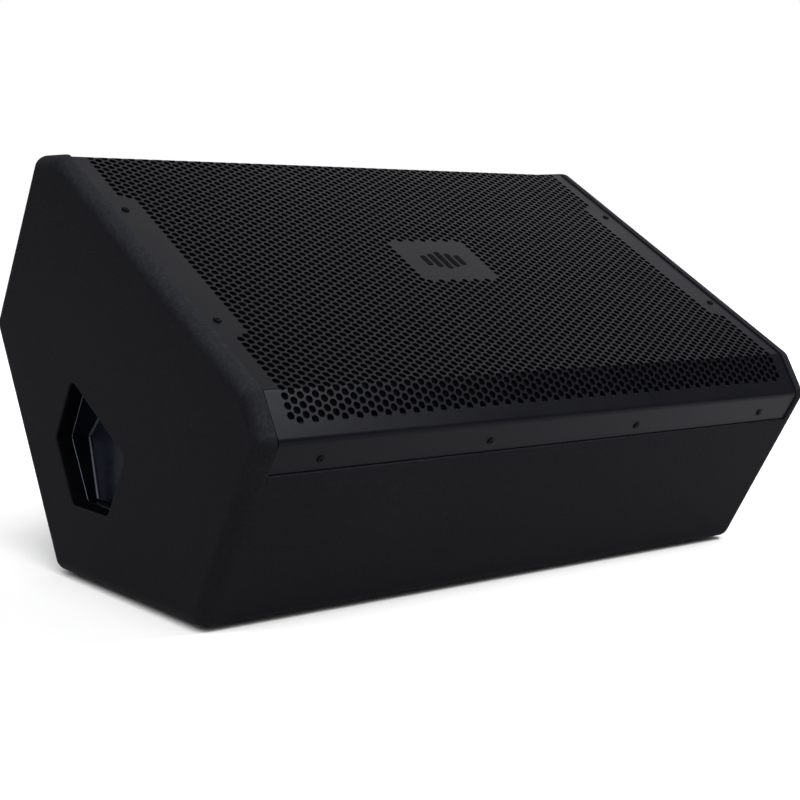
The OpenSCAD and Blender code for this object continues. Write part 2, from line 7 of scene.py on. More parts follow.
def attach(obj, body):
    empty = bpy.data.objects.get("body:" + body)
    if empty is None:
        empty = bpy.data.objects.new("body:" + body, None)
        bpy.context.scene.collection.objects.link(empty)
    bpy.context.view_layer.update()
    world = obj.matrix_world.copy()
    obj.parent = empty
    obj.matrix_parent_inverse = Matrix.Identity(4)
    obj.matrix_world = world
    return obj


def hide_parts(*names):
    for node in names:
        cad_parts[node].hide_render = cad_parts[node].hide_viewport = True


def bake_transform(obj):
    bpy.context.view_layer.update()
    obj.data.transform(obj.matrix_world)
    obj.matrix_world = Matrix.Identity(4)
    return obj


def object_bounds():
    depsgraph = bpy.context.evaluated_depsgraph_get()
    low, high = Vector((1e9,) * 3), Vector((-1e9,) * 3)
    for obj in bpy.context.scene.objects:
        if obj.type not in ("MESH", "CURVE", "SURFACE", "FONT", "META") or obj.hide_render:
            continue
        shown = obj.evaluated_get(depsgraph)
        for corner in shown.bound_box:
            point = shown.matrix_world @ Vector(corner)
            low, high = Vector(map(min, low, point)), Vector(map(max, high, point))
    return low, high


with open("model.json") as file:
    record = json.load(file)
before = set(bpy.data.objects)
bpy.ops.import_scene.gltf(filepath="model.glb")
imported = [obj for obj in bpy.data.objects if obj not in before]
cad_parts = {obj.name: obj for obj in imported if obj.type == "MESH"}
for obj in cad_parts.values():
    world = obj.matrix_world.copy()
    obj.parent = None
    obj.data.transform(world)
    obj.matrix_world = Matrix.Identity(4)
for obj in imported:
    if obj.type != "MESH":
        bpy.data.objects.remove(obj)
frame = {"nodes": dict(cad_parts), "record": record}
CAD_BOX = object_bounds()

# ------------------------------------------------------------------
# The cabinet's own frame: x across, u up the grille's slope, v out of the grille (mm)
# ------------------------------------------------------------------
C30, S30, T30 = math.cos(math.pi / 6), 0.5, math.tan(math.pi / 6)
FH, BEV, WALL = 177.25, 44.0, 179.0
U = FH + BEV * C30
BV = BEV * S30
WV = -BV - WALL
AV = WV - U * T30
PLY, RE = 16.0, 12.7
HW = float(CAD_BOX[1][0]) * 1000.0
XI = HW - PLY
UI = U - PLY
FOOT = 3.5
YM = -(WV - BV) / 2 * S30
ZUP = -AV * C30 + FOOT
G_IN, SHEET, GAP, LIP = 1.75, 1.5, 0.8, -51.5
GI = G_IN + SHEET
WX, HX = -118.0, 172.0

def W(p):
    """cabinet frame in mm -> row frame in metres, for an (n, 3) array"""
    p = np.asarray(p, float).reshape(-1, 3)
    return np.stack([p[:, 0], p[:, 1] * C30 - p[:, 2] * S30 - YM, p[:, 1] * S30 + p[:, 2] * C30 + ZUP], 1) / 1000.0

def Wi(p):
    p = np.asarray(p, float).reshape(-1, 3) * 1000.0
    y, z = p[:, 1] + YM, p[:, 2] - ZUP
    return np.stack([p[:, 0], y * C30 + z * S30, -y * S30 + z * C30], 1)

OUT = np.array([[0, AV], [U, WV], [U, -BV], [FH, 0], [-FH, 0], [-U, -BV], [-U, WV]], float)
iE, iD, iC, iB, iA, iG, iF = range(7)
HT = -155.5
HS = HT - 62
HL = HS - 55 * T30
HAND = np.array([[0, HL], [55, HS], [55, HT], [-55, HT], [-55, HS]], float)
CUP = np.array([[0, HL], [55, HS], [55, HT + 16], [-55, HT + 16], [-55, HS]], float)

def _nrm(p, q):
    d = q - p
    return np.array([d[1], -d[0]]) / np.linalg.norm(d)

def ins(V, i, d):
    n = len(V)
    a, b = _nrm(V[i - 1], V[i]), _nrm(V[i], V[(i + 1) % n])
    return V[i] - d * (a + b) / (1 + a @ b)

def inset(V, d):
    return np.array([ins(V, i, d) for i in range(len(V))])

def corner(V, i, rc, d, t0, t1, n):
    m = len(V)
    a, b = _nrm(V[i - 1], V[i]), _nrm(V[i], V[(i + 1) % m])
    c = ins(V, i, rc)
    s = math.atan2(a[1], a[0])
    turn = math.acos(max(-1, min(1, a @ b)))
    return np.array([c + (rc - d) * np.array([math.cos(s + turn * t), math.sin(s + turn * t)]) for t in np.linspace(t0, t1, n + 1)])

def rounded(V, rc, d=0.0, n=12):
    return np.concatenate([corner(V, i, rc, d, 0, 1, n) for i in range(len(V))])

def facet_v(u, d):
    return -BV + ((U - u) * S30 - d) / C30

def resample(loop, step):
    """adds points along the long edges of a closed loop, so shading and noise have something to work on"""
    out = []
    n = len(loop)
    for i in range(n):
        a, b = loop[i], loop[(i + 1) % n]
        k = max(1, int(np.linalg.norm(b - a) / step))
        for j in range(k):
            out.append(a + (b - a) * j / k)
    return np.array(out)

# ------------------------------------------------------------------
# mesh helpers
# ------------------------------------------------------------------
def mesh_obj(name, verts, faces, sharp=32.0, mats=(), face_mats=None, weighted=False):
    me = bpy.data.meshes.new(name)
    me.from_pydata([tuple(map(float, v)) for v in verts], [], [tuple(map(int, f)) for f in faces])
    me.update()
    me.validate()
    for m in mats:
        me.materials.append(m)
    if face_mats is not None:
        me.polygons.foreach_set("material_index", np.asarray(face_mats, np.int32))
    me.polygons.foreach_set("use_smooth", np.ones(len(me.polygons), bool))
    if sharp is not None:
        me.set_sharp_from_angle(angle=math.radians(sharp))
    ob = bpy.data.objects.new(name, me)
    bpy.context.scene.collection.objects.link(ob)
    if weighted:
        w = ob.modifiers.new("wn", "WEIGHTED_NORMAL")
        w.keep_sharp = True
        w.mode = "FACE_AREA"
        w.weight = 100
    return ob

def put(ob, body, slot, *nodes):
    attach(ob, body)
    if nodes:
        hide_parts(*nodes)
    return ob

class Builder:
    """collects vertices and faces of one closed piece"""
    def __init__(self):
        self.v, self.f, self.m = [], [], []

    def add(self, pts):
        s = len(self.v)
        self.v.extend([tuple(map(float, p)) for p in pts])
        return list(range(s, s + len(pts)))

    def face(self, *idx, m=0):
        self.f.append(tuple(idx))
        self.m.append(m)

    def strip(self, a, b, m=0, closed=True):
        n = len(a)
        for i in range(n if closed else n - 1):
            j = (i + 1) % n
            self.face(a[i], a[j], b[j], b[i], m=m)

    def cap(self, a, flip=False, m=0):
        self.face(*(a[::-1] if flip else a), m=m)

    def fill(self, outer, inner_loops, flip=False, m=0):
        """fills a flat region between closed loops of existing vertices"""
        loops = [list(outer)] + [list(l) for l in inner_loops]
        ids = [i for l in loops for i in l]
        P = np.array([self.v[i] for i in ids])
        c = P.mean(0)
        vt = np.linalg.svd(P - c, full_matrices=False)[2]
        q = (P - c) @ vt[:2].T
        polys, k = [], 0
        for l in loops:
            polys.append([Vector((x[0], x[1], 0.0)) for x in q[k:k + len(l)]])
            k += len(l)
        for t in tessellate_polygon(polys):
            tri = [ids[i] for i in t]
            self.face(*(tri[::-1] if flip else tri), m=m)

    def fix(self):
        bm = bmesh.new()
        vs = [bm.verts.new(p) for p in self.v]
        bm.verts.ensure_lookup_table()
        for f, m in zip(self.f, self.m):
            try:
                g = bm.faces.new([vs[i] for i in f])
                g.material_index = m
            except ValueError:
                pass
        bmesh.ops.remove_doubles(bm, verts=bm.verts, dist=1e-7)
        bmesh.ops.recalc_face_normals(bm, faces=bm.faces)
        return bm

    def obj(self, name, mats, sharp=32.0, weighted=False):
        bm = self.fix()
        me = bpy.data.meshes.new(name)
        bm.to_mesh(me)
        bm.free()
        for m in mats:
            me.materials.append(m)
        me.polygons.foreach_set("use_smooth", np.ones(len(me.polygons), bool))
        if sharp is not None:
            me.set_sharp_from_angle(angle=math.radians(sharp))
        ob = bpy.data.objects.new(name, me)
        bpy.context.scene.collection.objects.link(ob)
        if weighted:
            w = ob.modifiers.new("wn", "WEIGHTED_NORMAL")
            w.keep_sharp = True
            w.mode = "FACE_AREA"
            w.weight = 100
        return ob

# ------------------------------------------------------------------
# materials
# ------------------------------------------------------------------
def nodes_of(name):
    m = bpy.data.materials.new(name)
    m.use_nodes = True
    nt = m.node_tree
    b = nt.nodes["Principled BSDF"]
    return m, nt, b

def coord(nt):
    return nt.nodes.new("ShaderNodeTexCoord").outputs["Object"]

def noise(nt, vec, scale, detail=3.0, rough=0.55, dist=0.0):
    n = nt.nodes.new("ShaderNodeTexNoise")
    n.inputs["Scale"].default_value = scale
    n.inputs["Detail"].default_value = detail
    n.inputs["Roughness"].default_value = rough
    n.inputs["Distortion"].default_value = dist
    nt.links.new(vec, n.inputs["Vector"])
    return n.outputs["Fac"]

def voronoi(nt, vec, scale, feature="F1", rand=1.0):
    n = nt.nodes.new("ShaderNodeTexVoronoi")
    n.feature = feature
    n.inputs["Scale"].default_value = scale
    n.inputs["Randomness"].default_value = rand
    nt.links.new(vec, n.inputs["Vector"])
    return n.outputs["Distance"]

def ramp(nt, fac, stops):
    r = nt.nodes.new("ShaderNodeValToRGB")
    e = r.color_ramp.elements
    while len(e) > 1:
        e.remove(e[-1])
    e[0].position, e[0].color = stops[0][0], tuple(stops[0][1]) + (1.0,)
    for p, c in stops[1:]:
        k = e.new(p)
        k.color = tuple(c) + (1.0,)
    nt.links.new(fac, r.inputs["Fac"])
    return r.outputs["Color"]

def grey(v):
    return (v, v, v)

def mapr(nt, fac, lo, hi, a=0.0, b=1.0):
    r = nt.nodes.new("ShaderNodeMapRange")
    r.inputs["From Min"].default_value = a
    r.inputs["From Max"].default_value = b
    r.inputs["To Min"].default_value = lo
    r.inputs["To Max"].default_value = hi
    nt.links.new(fac, r.inputs["Value"])
    return r.outputs["Result"]

def math_(nt, op, a, b=None, clamp=False):
    n = nt.nodes.new("ShaderNodeMath")
    n.operation = op
    n.use_clamp = clamp
    for i, x in enumerate((a, b)):
        if x is None:
            continue
        if isinstance(x, (int, float)):
            n.inputs[i].default_value = x
        else:
            nt.links.new(x, n.inputs[i])
    return n.outputs[0]

def bump(nt, b, height, strength, dist, chain=None):
    n = nt.nodes.new("ShaderNodeBump")
    n.inputs["Strength"].default_value = strength
    n.inputs["Distance"].default_value = dist
    nt.links.new(height, n.inputs["Height"])
    if chain is not None:
        nt.links.new(chain, n.inputs["Normal"])
    return n.outputs["Normal"]

def stdmat(name, dark, light, rough, scale, bump_mm=0.02, bscale=None, metal=0.0, spec=0.5, detail=4.0, tint=None, coat=0.0, strength=0.5):
    """a procedural finish: cloudy colour variation, roughness variation and a fine relief"""
    m, nt, b = nodes_of(name)
    v = coord(nt)
    n1 = noise(nt, v, scale, detail)
    col = ramp(nt, n1, [(0.3, dark), (0.7, light)])
    nt.links.new(col, b.inputs["Base Color"])
    n2 = noise(nt, v, scale * 2.3, 3.0)
    nt.links.new(mapr(nt, n2, rough[0], rough[1], 0.3, 0.7), b.inputs["Roughness"])
    h = noise(nt, v, bscale or scale * 8, 4.0, 0.6)
    nt.links.new(bump(nt, b, h, strength, bump_mm / 1000.0), b.inputs["Normal"])
    b.inputs["Metallic"].default_value = metal
    b.inputs["Specular IOR Level"].default_value = spec
    if coat:
        b.inputs["Coat Weight"].default_value = coat
        b.inputs["Coat Roughness"].default_value = 0.12
    return m

def make_paint():
    """black texture paint on plywood: fine pebbled skin, a little cloudy, dusty in the hollows; upward faces painted
    lighter as a painted highlight
    """
    m, nt, b = nodes_of("texture_paint")
    v = coord(nt)
    peb = voronoi(nt, v, 480.0, "SMOOTH_F1")
    fine = noise(nt, v, 1500.0, 3.0, 0.6)
    cloud = noise(nt, v, 9.0, 4.0, 0.6)
    h = math_(nt, "ADD", math_(nt, "MULTIPLY", peb, -0.9), math_(nt, "MULTIPLY", fine, 0.5))
    nrm = bump(nt, b, h, 0.85, 0.00045)
    nt.links.new(nrm, b.inputs["Normal"])
    speck = math_(nt, "ADD", math_(nt, "MULTIPLY", peb, 0.55), math_(nt, "MULTIPLY", cloud, 0.6))
    side = ramp(nt, speck, [(0.25, (0.0050, 0.0050, 0.0062)), (0.55, (0.0068, 0.0068, 0.0082)), (0.85, (0.0094, 0.0094, 0.0111))])
    # upward faces are painted lighter: a painted highlight for the overhead light the pebbled paint catches, mottled by
    # noise
    top_light_mottle = noise(nt, v, 300.0, 5.0, 0.7)
    painted_top_light = ramp(nt, top_light_mottle, [(0.32, (0.0105, 0.0110, 0.0138)), (0.50, (0.0135, 0.0142, 0.0172)), (0.68, (0.0185, 0.0192, 0.0225))])
    # the normal's Z picks the faces that get the painted highlight
    sep = nt.nodes.new("ShaderNodeSeparateXYZ")
    nt.links.new(nt.nodes.new("ShaderNodeTexCoord").outputs["Normal"], sep.inputs[0])
    up = nt.nodes.new("ShaderNodeMapRange")
    up.interpolation_type = "SMOOTHSTEP"
    up.inputs["From Min"].default_value = 0.02
    up.inputs["From Max"].default_value = 0.80
    nt.links.new(math_(nt, "ADD", sep.outputs["Z"], mapr(nt, top_light_mottle, -0.09, 0.09, 0.3, 0.7)), up.inputs["Value"])
    mix = nt.nodes.new("ShaderNodeMix")
    mix.data_type = "RGBA"
    nt.links.new(up.outputs["Result"], mix.inputs["Factor"])
    ca = [i for i in mix.inputs if i.type == "RGBA"]
    nt.links.new(side, ca[0])
    nt.links.new(painted_top_light, ca[1])
    nt.links.new([o for o in mix.outputs if o.type == "RGBA"][0], b.inputs["Base Color"])
    nt.links.new(mapr(nt, cloud, 0.54, 0.66, 0.3, 0.7), b.inputs["Roughness"])
    b.inputs["Specular IOR Level"].default_value = 0.014
    b.inputs["Specular Tint"].default_value = (0.84, 0.86, 1.0, 1.0)
    return m

def make_powder():
    """satin black powder coat on sheet steel"""
    m, nt, b = nodes_of("powder_coat")
    v = coord(nt)
    peel = noise(nt, v, 900.0, 3.0, 0.6)
    cloud = noise(nt, v, 14.0, 4.0, 0.6)
    nt.links.new(bump(nt, b, peel, 0.35, 0.00012), b.inputs["Normal"])
    col = ramp(nt, cloud, [(0.3, (0.0026, 0.0027, 0.0040)), (0.7, (0.0034, 0.0035, 0.0050))])
    nt.links.new(col, b.inputs["Base Color"])
    nt.links.new(mapr(nt, cloud, 0.30, 0.37, 0.3, 0.7), b.inputs["Roughness"])
    b.inputs["Specular IOR Level"].default_value = 0.050
    b.inputs["Specular Tint"].default_value = (0.86, 0.88, 1.0, 1.0)
    return m

def make_foam():
    m, nt, b = nodes_of("open_cell_foam")
    v = coord(nt)
    cell = voronoi(nt, v, 700.0, "DISTANCE_TO_EDGE")
    n1 = noise(nt, v, 300.0, 4.0, 0.6)
    h = math_(nt, "ADD", cell, math_(nt, "MULTIPLY", n1, 0.5))
    nt.links.new(bump(nt, b, h, 0.8, 0.0006), b.inputs["Normal"])
    col = ramp(nt, math_(nt, "ADD", cell, n1), [(0.35, (0.0008, 0.0008, 0.0009)), (0.95, (0.0024, 0.0024, 0.0026))])
    nt.links.new(col, b.inputs["Base Color"])
    nt.links.new(mapr(nt, n1, 0.85, 0.97, 0.3, 0.7), b.inputs["Roughness"])
    b.inputs["Specular IOR Level"].default_value = 0.02
    return m

def make_cup(name="moulded_cup", k=1.0, spec=0.24, rough=(0.20, 0.27)):
    """satin moulded plastic of the hand cup: smooth, glossy, faint flow marks"""
    m, nt, b = nodes_of(name)
    v = coord(nt)
    flow = noise(nt, v, 22.0, 3.0, 0.5, 0.6)
    grain = noise(nt, v, 700.0, 3.0, 0.6)
    nt.links.new(bump(nt, b, grain, 0.15, 0.00006), b.inputs["Normal"])
    # k above 1 gives the lighter copies: the cup back's painted reflection and the rim's painted highlight
    col = ramp(nt, flow, [(0.3, (0.0006 * k, 0.0008 * k, 0.0014 * k)), (0.7, (0.0010 * k, 0.0013 * k, 0.0022 * k))])
    nt.links.new(col, b.inputs["Base Color"])
    nt.links.new(mapr(nt, flow, rough[0], rough[1], 0.3, 0.7), b.inputs["Roughness"])
    b.inputs["Specular IOR Level"].default_value = spec
    b.inputs["Specular Tint"].default_value = (0.70, 0.80, 1.0, 1.0)
    b.inputs["Coat Weight"].default_value = 0.10
    b.inputs["Coat Roughness"].default_value = 0.08
    b.inputs["Coat Tint"].default_value = (0.85, 0.92, 1.0, 1.0)
    return m

def make_ply():
    m, nt, b = nodes_of("birch_ply")
    v = coord(nt)
    mp = nt.nodes.new("ShaderNodeMapping")
    mp.inputs["Scale"].default_value = (1.0, 9.0, 9.0)
    nt.links.new(v, mp.inputs["Vector"])
    g = noise(nt, mp.outputs["Vector"], 14.0, 6.0, 0.6, 0.4)
    w = nt.nodes.new("ShaderNodeTexWave")
    w.inputs["Scale"].default_value = 22.0
    w.inputs["Distortion"].default_value = 5.0
    w.inputs["Detail"].default_value = 3.0
    nt.links.new(mp.outputs["Vector"], w.inputs["Vector"])
    mixv = math_(nt, "ADD", math_(nt, "MULTIPLY", w.outputs["Fac"], 0.35), math_(nt, "MULTIPLY", g, 0.65))
    col = ramp(nt, mixv, [(0.2, (0.33, 0.20, 0.10)), (0.5, (0.52, 0.36, 0.20)), (0.8, (0.62, 0.46, 0.28))])
    nt.links.new(col, b.inputs["Base Color"])
    nt.links.new(mapr(nt, g, 0.55, 0.75, 0.3, 0.7), b.inputs["Roughness"])
    nt.links.new(bump(nt, b, mixv, 0.3, 0.0002), b.inputs["Normal"])
    return m

def make_cone():
    m, nt, b = nodes_of("pressed_paper")
    v = coord(nt)
    f1 = noise(nt, v, 260.0, 6.0, 0.7, 0.8)
    f2 = noise(nt, v, 60.0, 4.0)
    nt.links.new(bump(nt, b, f1, 0.5, 0.0002), b.inputs["Normal"])
    col = ramp(nt, f1, [(0.3, (0.012, 0.012, 0.013)), (0.7, (0.030, 0.030, 0.032))])
    nt.links.new(col, b.inputs["Base Color"])
    nt.links.new(mapr(nt, f2, 0.70, 0.88, 0.3, 0.7), b.inputs["Roughness"])
    return m

def make_wound():
    m, nt, b = nodes_of("enamelled_wire")
    v = coord(nt)
    w = nt.nodes.new("ShaderNodeTexWave")
    w.bands_direction = "Z"
    w.inputs["Scale"].default_value = 320.0
    w.inputs["Distortion"].default_value = 0.4
    nt.links.new(v, w.inputs["Vector"])
    n = noise(nt, v, 90.0, 3.0)
    nt.links.new(bump(nt, b, w.outputs["Fac"], 0.6, 0.0003), b.inputs["Normal"])
    col = ramp(nt, n, [(0.3, (0.42, 0.15, 0.05)), (0.7, (0.60, 0.26, 0.10))])
    nt.links.new(col, b.inputs["Base Color"])
    nt.links.new(mapr(nt, n, 0.25, 0.4, 0.3, 0.7), b.inputs["Roughness"])
    b.inputs["Metallic"].default_value = 0.8
    return m

def make_weave(name, dark, light, sc=900.0):
    m, nt, b = nodes_of(name)
    v = coord(nt)
    wx = nt.nodes.new("ShaderNodeTexWave")
    wx.bands_direction = "X"
    wx.inputs["Scale"].default_value = sc / 3
    wy = nt.nodes.new("ShaderNodeTexWave")
    wy.bands_direction = "Y"
    wy.inputs["Scale"].default_value = sc / 3
    for w_ in (wx, wy):
        w_.inputs["Distortion"].default_value = 0.5
        nt.links.new(v, w_.inputs["Vector"])
    h = math_(nt, "MULTIPLY", wx.outputs["Fac"], wy.outputs["Fac"])
    n = noise(nt, v, 70.0, 3.0)
    nt.links.new(bump(nt, b, h, 0.6, 0.0003), b.inputs["Normal"])
    col = ramp(nt, math_(nt, "ADD", math_(nt, "MULTIPLY", h, 0.5), math_(nt, "MULTIPLY", n, 0.6)), [(0.25, dark), (0.75, light)])
    nt.links.new(col, b.inputs["Base Color"])
    nt.links.new(mapr(nt, n, 0.75, 0.9, 0.3, 0.7), b.inputs["Roughness"])
    b.inputs["Sheen Weight"].default_value = 0.1
    return m

MAT = {}
MAT["cabinet_paint"] = make_paint()
# near-black copy of the paint for the hand opening's inner wall: painted shade inside the opening
MAT["cut_edge"] = stdmat("opening_painted_shade", (0.0008, 0.0008, 0.0011), (0.0018, 0.0018, 0.0024), (0.55, 0.70), 60, 0.05, 700, spec=0.012)
MAT["grille_steel"] = make_powder()
MAT["grille_foam"] = make_foam()
MAT["handle_plastic"] = make_cup()
# the cup's back: the same plastic with a five times lighter base colour, a painted reflection of the bright
# surroundings
MAT["cup_floor"] = make_cup("moulded_cup_floor", 5.0, 0.24, (0.24, 0.32))
# the rolled rim: polished (higher specular level, lower roughness) and a five times lighter base colour as a painted
# highlight
MAT["cup_rim"] = make_cup("polished_cup_rim", 5.0, 0.75, (0.16, 0.22))
MAT["bare_wood"] = make_ply()
MAT["cone_paper"] = make_cone()
MAT["copper_wire"] = make_wound()
MAT["spider_cloth"] = make_weave("resin_cloth", (0.30, 0.17, 0.07), (0.50, 0.33, 0.16))
MAT["surround_cloth"] = make_weave("doped_cloth", (0.010, 0.010, 0.011), (0.026, 0.026, 0.028))
MAT["baffle_paint"] = stdmat("flat_black", grey(0.003), grey(0.006), (0.7, 0.85), 40, 0.08, 500, spec=0.05)
MAT["black_screw"] = stdmat("black_zinc", (0.0018, 0.0018, 0.0023), (0.0034, 0.0034, 0.0042), (0.30, 0.42), 160, 0.02, 1500, spec=0.028)
MAT["steel_screw"] = stdmat("zinc_plate", grey(0.38), (0.52, 0.52, 0.50), (0.25, 0.42), 140, 0.02, 1400, metal=1.0)
MAT["badge_print"] = stdmat("badge_ink", grey(0.0012), grey(0.0022), (0.55, 0.7), 90, 0.02, 1200, spec=0.02)
MAT["foot_rubber"] = stdmat("black_rubber", grey(0.010), grey(0.018), (0.72, 0.88), 60, 0.06, 900, spec=0.3)
MAT["basket_paint"] = stdmat("stamped_steel_black", grey(0.014), grey(0.024), (0.38, 0.5), 60, 0.03, 900, spec=0.4)
MAT["plate_steel"] = stdmat("turned_steel", grey(0.42), grey(0.55), (0.28, 0.4), 110, 0.03, 900, metal=1.0)
MAT["ferrite"] = stdmat("ferrite_ceramic", (0.045, 0.045, 0.050), (0.075, 0.075, 0.080), (0.55, 0.72), 90, 0.06, 700)
MAT["horn_plastic"] = stdmat("grained_plastic", grey(0.007), grey(0.012), (0.45, 0.6), 50, 0.05, 900, spec=0.35)
MAT["driver_metal"] = stdmat("formed_foil", (0.50, 0.50, 0.52), (0.62, 0.62, 0.63), (0.2, 0.32), 120, 0.01, 900, metal=1.0)
MAT["driver_paint"] = stdmat("driver_enamel", grey(0.012), grey(0.022), (0.35, 0.48), 70, 0.03, 900, spec=0.4)
MAT["port_plastic"] = stdmat("port_tube_black", grey(0.008), grey(0.014), (0.5, 0.65), 60, 0.04, 800, spec=0.3)
MAT["plate_plastic"] = stdmat("plate_moulding", (0.0100, 0.0102, 0.0110), (0.0160, 0.0162, 0.0172), (0.42, 0.56), 60, 0.05, 1000, spec=0.4)
MAT["socket_plastic"] = stdmat("socket_nylon", (0.0120, 0.0122, 0.0135), (0.0190, 0.0192, 0.0210), (0.28, 0.4), 90, 0.02, 900, spec=0.5)
MAT["switch_white"] = stdmat("lever_acetal", (0.58, 0.58, 0.55), (0.68, 0.68, 0.65), (0.3, 0.42), 200, 0.01, 1200)
MAT["board_green"] = stdmat("solder_mask", (0.010, 0.085, 0.030), (0.018, 0.125, 0.045), (0.3, 0.42), 120, 0.02, 800)
MAT["film_blue"] = stdmat("film_wrap", (0.020, 0.050, 0.150), (0.035, 0.080, 0.220), (0.22, 0.34), 140, 0.02, 700)
MAT["ceramic_white"] = stdmat("cement_body", (0.62, 0.61, 0.57), (0.75, 0.74, 0.70), (0.7, 0.85), 150, 0.08, 900)
MAT["spacer_brass"] = stdmat("turned_brass", (0.55, 0.38, 0.14), (0.68, 0.50, 0.22), (0.25, 0.38), 150, 0.02, 900, metal=1.0)
MAT["lead_red"] = stdmat("lead_jacket", (0.16, 0.012, 0.012), (0.24, 0.022, 0.020), (0.35, 0.5), 120, 0.02, 800)

# every carried-over CAD node takes its slot's finish
SLOT_OF = {s["node"]: s["material_slot"] for s in frame["record"]["subparts"]}
for n, o in frame["nodes"].items():
    o.data.materials.clear()
    o.data.materials.append(MAT[SLOT_OF[n]])

# ------------------------------------------------------------------
# cabinet: end panels with their big roundovers and the hand opening
# ------------------------------------------------------------------
def end_panel(side):
    b = Builder()
    STEP = 14.0
    base = resample(rounded(OUT, RE, 0, 16), STEP)
    # every loop has the same number of points: move each along its corner or edge normal
    cen = inset(OUT, RE)
    def loop(x, d):
        # the outline is the centre polygon grown by RE - d
        pts = base.copy()
        out = np.empty_like(pts)
        for k, p in enumerate(pts):
            best, q = None, None
            for i in range(7):
                a, c = cen[i], cen[(i + 1) % 7]
                t = np.clip(((p - a) @ (c - a)) / ((c - a) @ (c - a)), 0, 1)
                w = a + t * (c - a)
                dd = np.linalg.norm(p - w)
                if best is None or dd < best:
                    best, q = dd, w
            n = (p - q) / best
            out[k] = q + n * (RE - (d if np.isscalar(d) else d[k]))
        return np.column_stack([np.zeros(len(out)) + x, out])
    # beside the grille the inner edge is eased; beside the walls it stays closed
    along = 0.02 + 0.98 * np.clip((base[:, 1] - (LIP - 4.0)) / 4.0, 0, 1)
    EA = 1.6
    loops = [loop(XI + EA * (1 - math.cos(math.radians(a))) * along, EA * (1 - math.sin(math.radians(a))) * along) for a in (0, 22.5, 45, 67.5, 90)]
    loops.append(loop(HW - RE, 0.0))
    for a in np.linspace(0, 90, 15)[1:]:
        r = math.radians(a)
        loops.append(loop(HW - RE + RE * math.sin(r), RE * (1 - math.cos(r)) if a < 90 else RE - 1e-3))
    ids = [b.add(l) for l in loops]
    for i in range(len(ids) - 1):
        b.strip(ids[i], ids[i + 1])
    # a narrow supporting ring just inside the roundover
    cen_in = inset(OUT, RE + 1.2)
    ring = []
    for k, p in enumerate(loops[-1][:, 1:]):
        best, q = None, None
        for i in range(7):
            a, c = cen_in[i], cen_in[(i + 1) % 7]
            t = np.clip(((p - a) @ (c - a)) / ((c - a) @ (c - a)), 0, 1)
            w = a + t * (c - a)
            dd = np.linalg.norm(p - w)
            if best is None or dd < best:
                best, q = dd, w
        ring.append(q)
    hold = b.add(np.column_stack([np.full(len(ring), HW), np.array(ring)]))
    b.strip(ids[-1], hold)
    # hand opening: eased outer edge
    RO = 2.6
    def hloop(x, d):
        return np.column_stack([np.full(len(hb(d)), x), hb(d)])
    def hb(d):
        return rounded(HAND, 7.0, d, 10)
    hl = [b.add(hloop(HW, -RO - 1.2)), b.add(hloop(HW, -RO))]
    for a in np.linspace(0, 90, 9)[1:]:
        r = math.radians(a)
        hl.append(b.add(hloop(HW - RO + RO * math.cos(r), -RO + RO * math.sin(r))))
    hl.append(b.add(hloop(XI + 0.8, 0)))
    hl.append(b.add(hloop(XI, 0)))
    # from halfway round the eased edge inward, the opening's wall takes the near-black copy: painted shade inside the
    # hand opening
    for i in range(len(hl) - 1):
        b.strip(hl[i], hl[i + 1], m=1 if i >= 5 else 0)
    b.fill(hold, [hl[0]])
    b.fill(ids[0], [hl[-1]], flip=True)
    V = np.array(b.v)
    if side < 0:
        V[:, 0] *= -1
    b.v = [tuple(p) for p in W(V)]
    nm = "end_panel_right" if side > 0 else "end_panel_left"
    ob = b.obj(nm, [MAT["cabinet_paint"], MAT["cut_edge"]], sharp=50, weighted=True)
    return put(ob, "cabinet", "cabinet_paint", "right_end_panel" if side > 0 else "left_end_panel")

end_panel(-1)
end_panel(1)

def board(name, section, x0, x1, nodes, holes=None, steps=40, sharp=40):
    """a cabinet wall: closed section extruded across, cut into steps so shading stays even"""
    b = Builder()
    S = np.asarray(section)
    xs = np.linspace(x0, x1, steps + 1)
    ids = [b.add(np.column_stack([np.full(len(S), x), S])) for x in xs]
    for i in range(steps):
        b.strip(ids[i], ids[i + 1])
    b.cap(ids[0], flip=True)
    b.cap(ids[-1])
    b.v = [tuple(p) for p in W(np.array(b.v))]
    ob = b.obj(name, [MAT["cabinet_paint"]], sharp=sharp, weighted=True)
    return put(ob, "cabinet", "cabinet_paint", *nodes)

def wall_section(sign=-1, ease=0.6):
    # the rabbet's lower lip is eased like paint over a cut edge
    pts = [[-(U - GI - 2.6), facet_v(U - GI - 2.6, GI)], [-(U - GI), facet_v(U - GI, GI) - 2.8], [-(U - GI), LIP - 1.2 - 0.5], [-(U - GI) - 0.25, LIP - 1.5 - 0.15],
           [-(U - 0.9), LIP - 1.5 - 0.05], [-(U - 0.45), LIP - 1.5 - 0.2], [-(U - 0.12), LIP - 1.5 - 0.55], [-U, LIP - 1.5 - 1.1]]
    pts = np.concatenate([np.array(pts), corner(OUT, iF, RE, 0, 0, 0.5, 14), [ins(OUT, iF, PLY)], [[-UI, facet_v(UI, GI)]]])
    if sign > 0:
        pts = pts.copy()
        pts[:, 0] *= -1
    return pts

def base_section(sign=-1):
    pts = np.concatenate([corner(OUT, iF, RE, 0, 0.5, 1, 14), corner(OUT, iE, RE, 0, 0, 0.5, 14), [ins(OUT, iE, PLY)], [ins(OUT, iF, PLY)]])
    if sign > 0:
        pts = pts.copy()
        pts[:, 0] *= -1
    return pts

board("front_wall", wall_section(), -XI, XI, ["front_panel"])
board("base_board", base_section(), -XI, XI, ["bottom_panel"])
board("rear_base_board", base_section(1), -XI, XI, ["rear_lower_panel"])

# ------------------------------------------------------------------
# rear wall with the rebated opening, and the input plate set in it
# ------------------------------------------------------------------
PV = -125.0

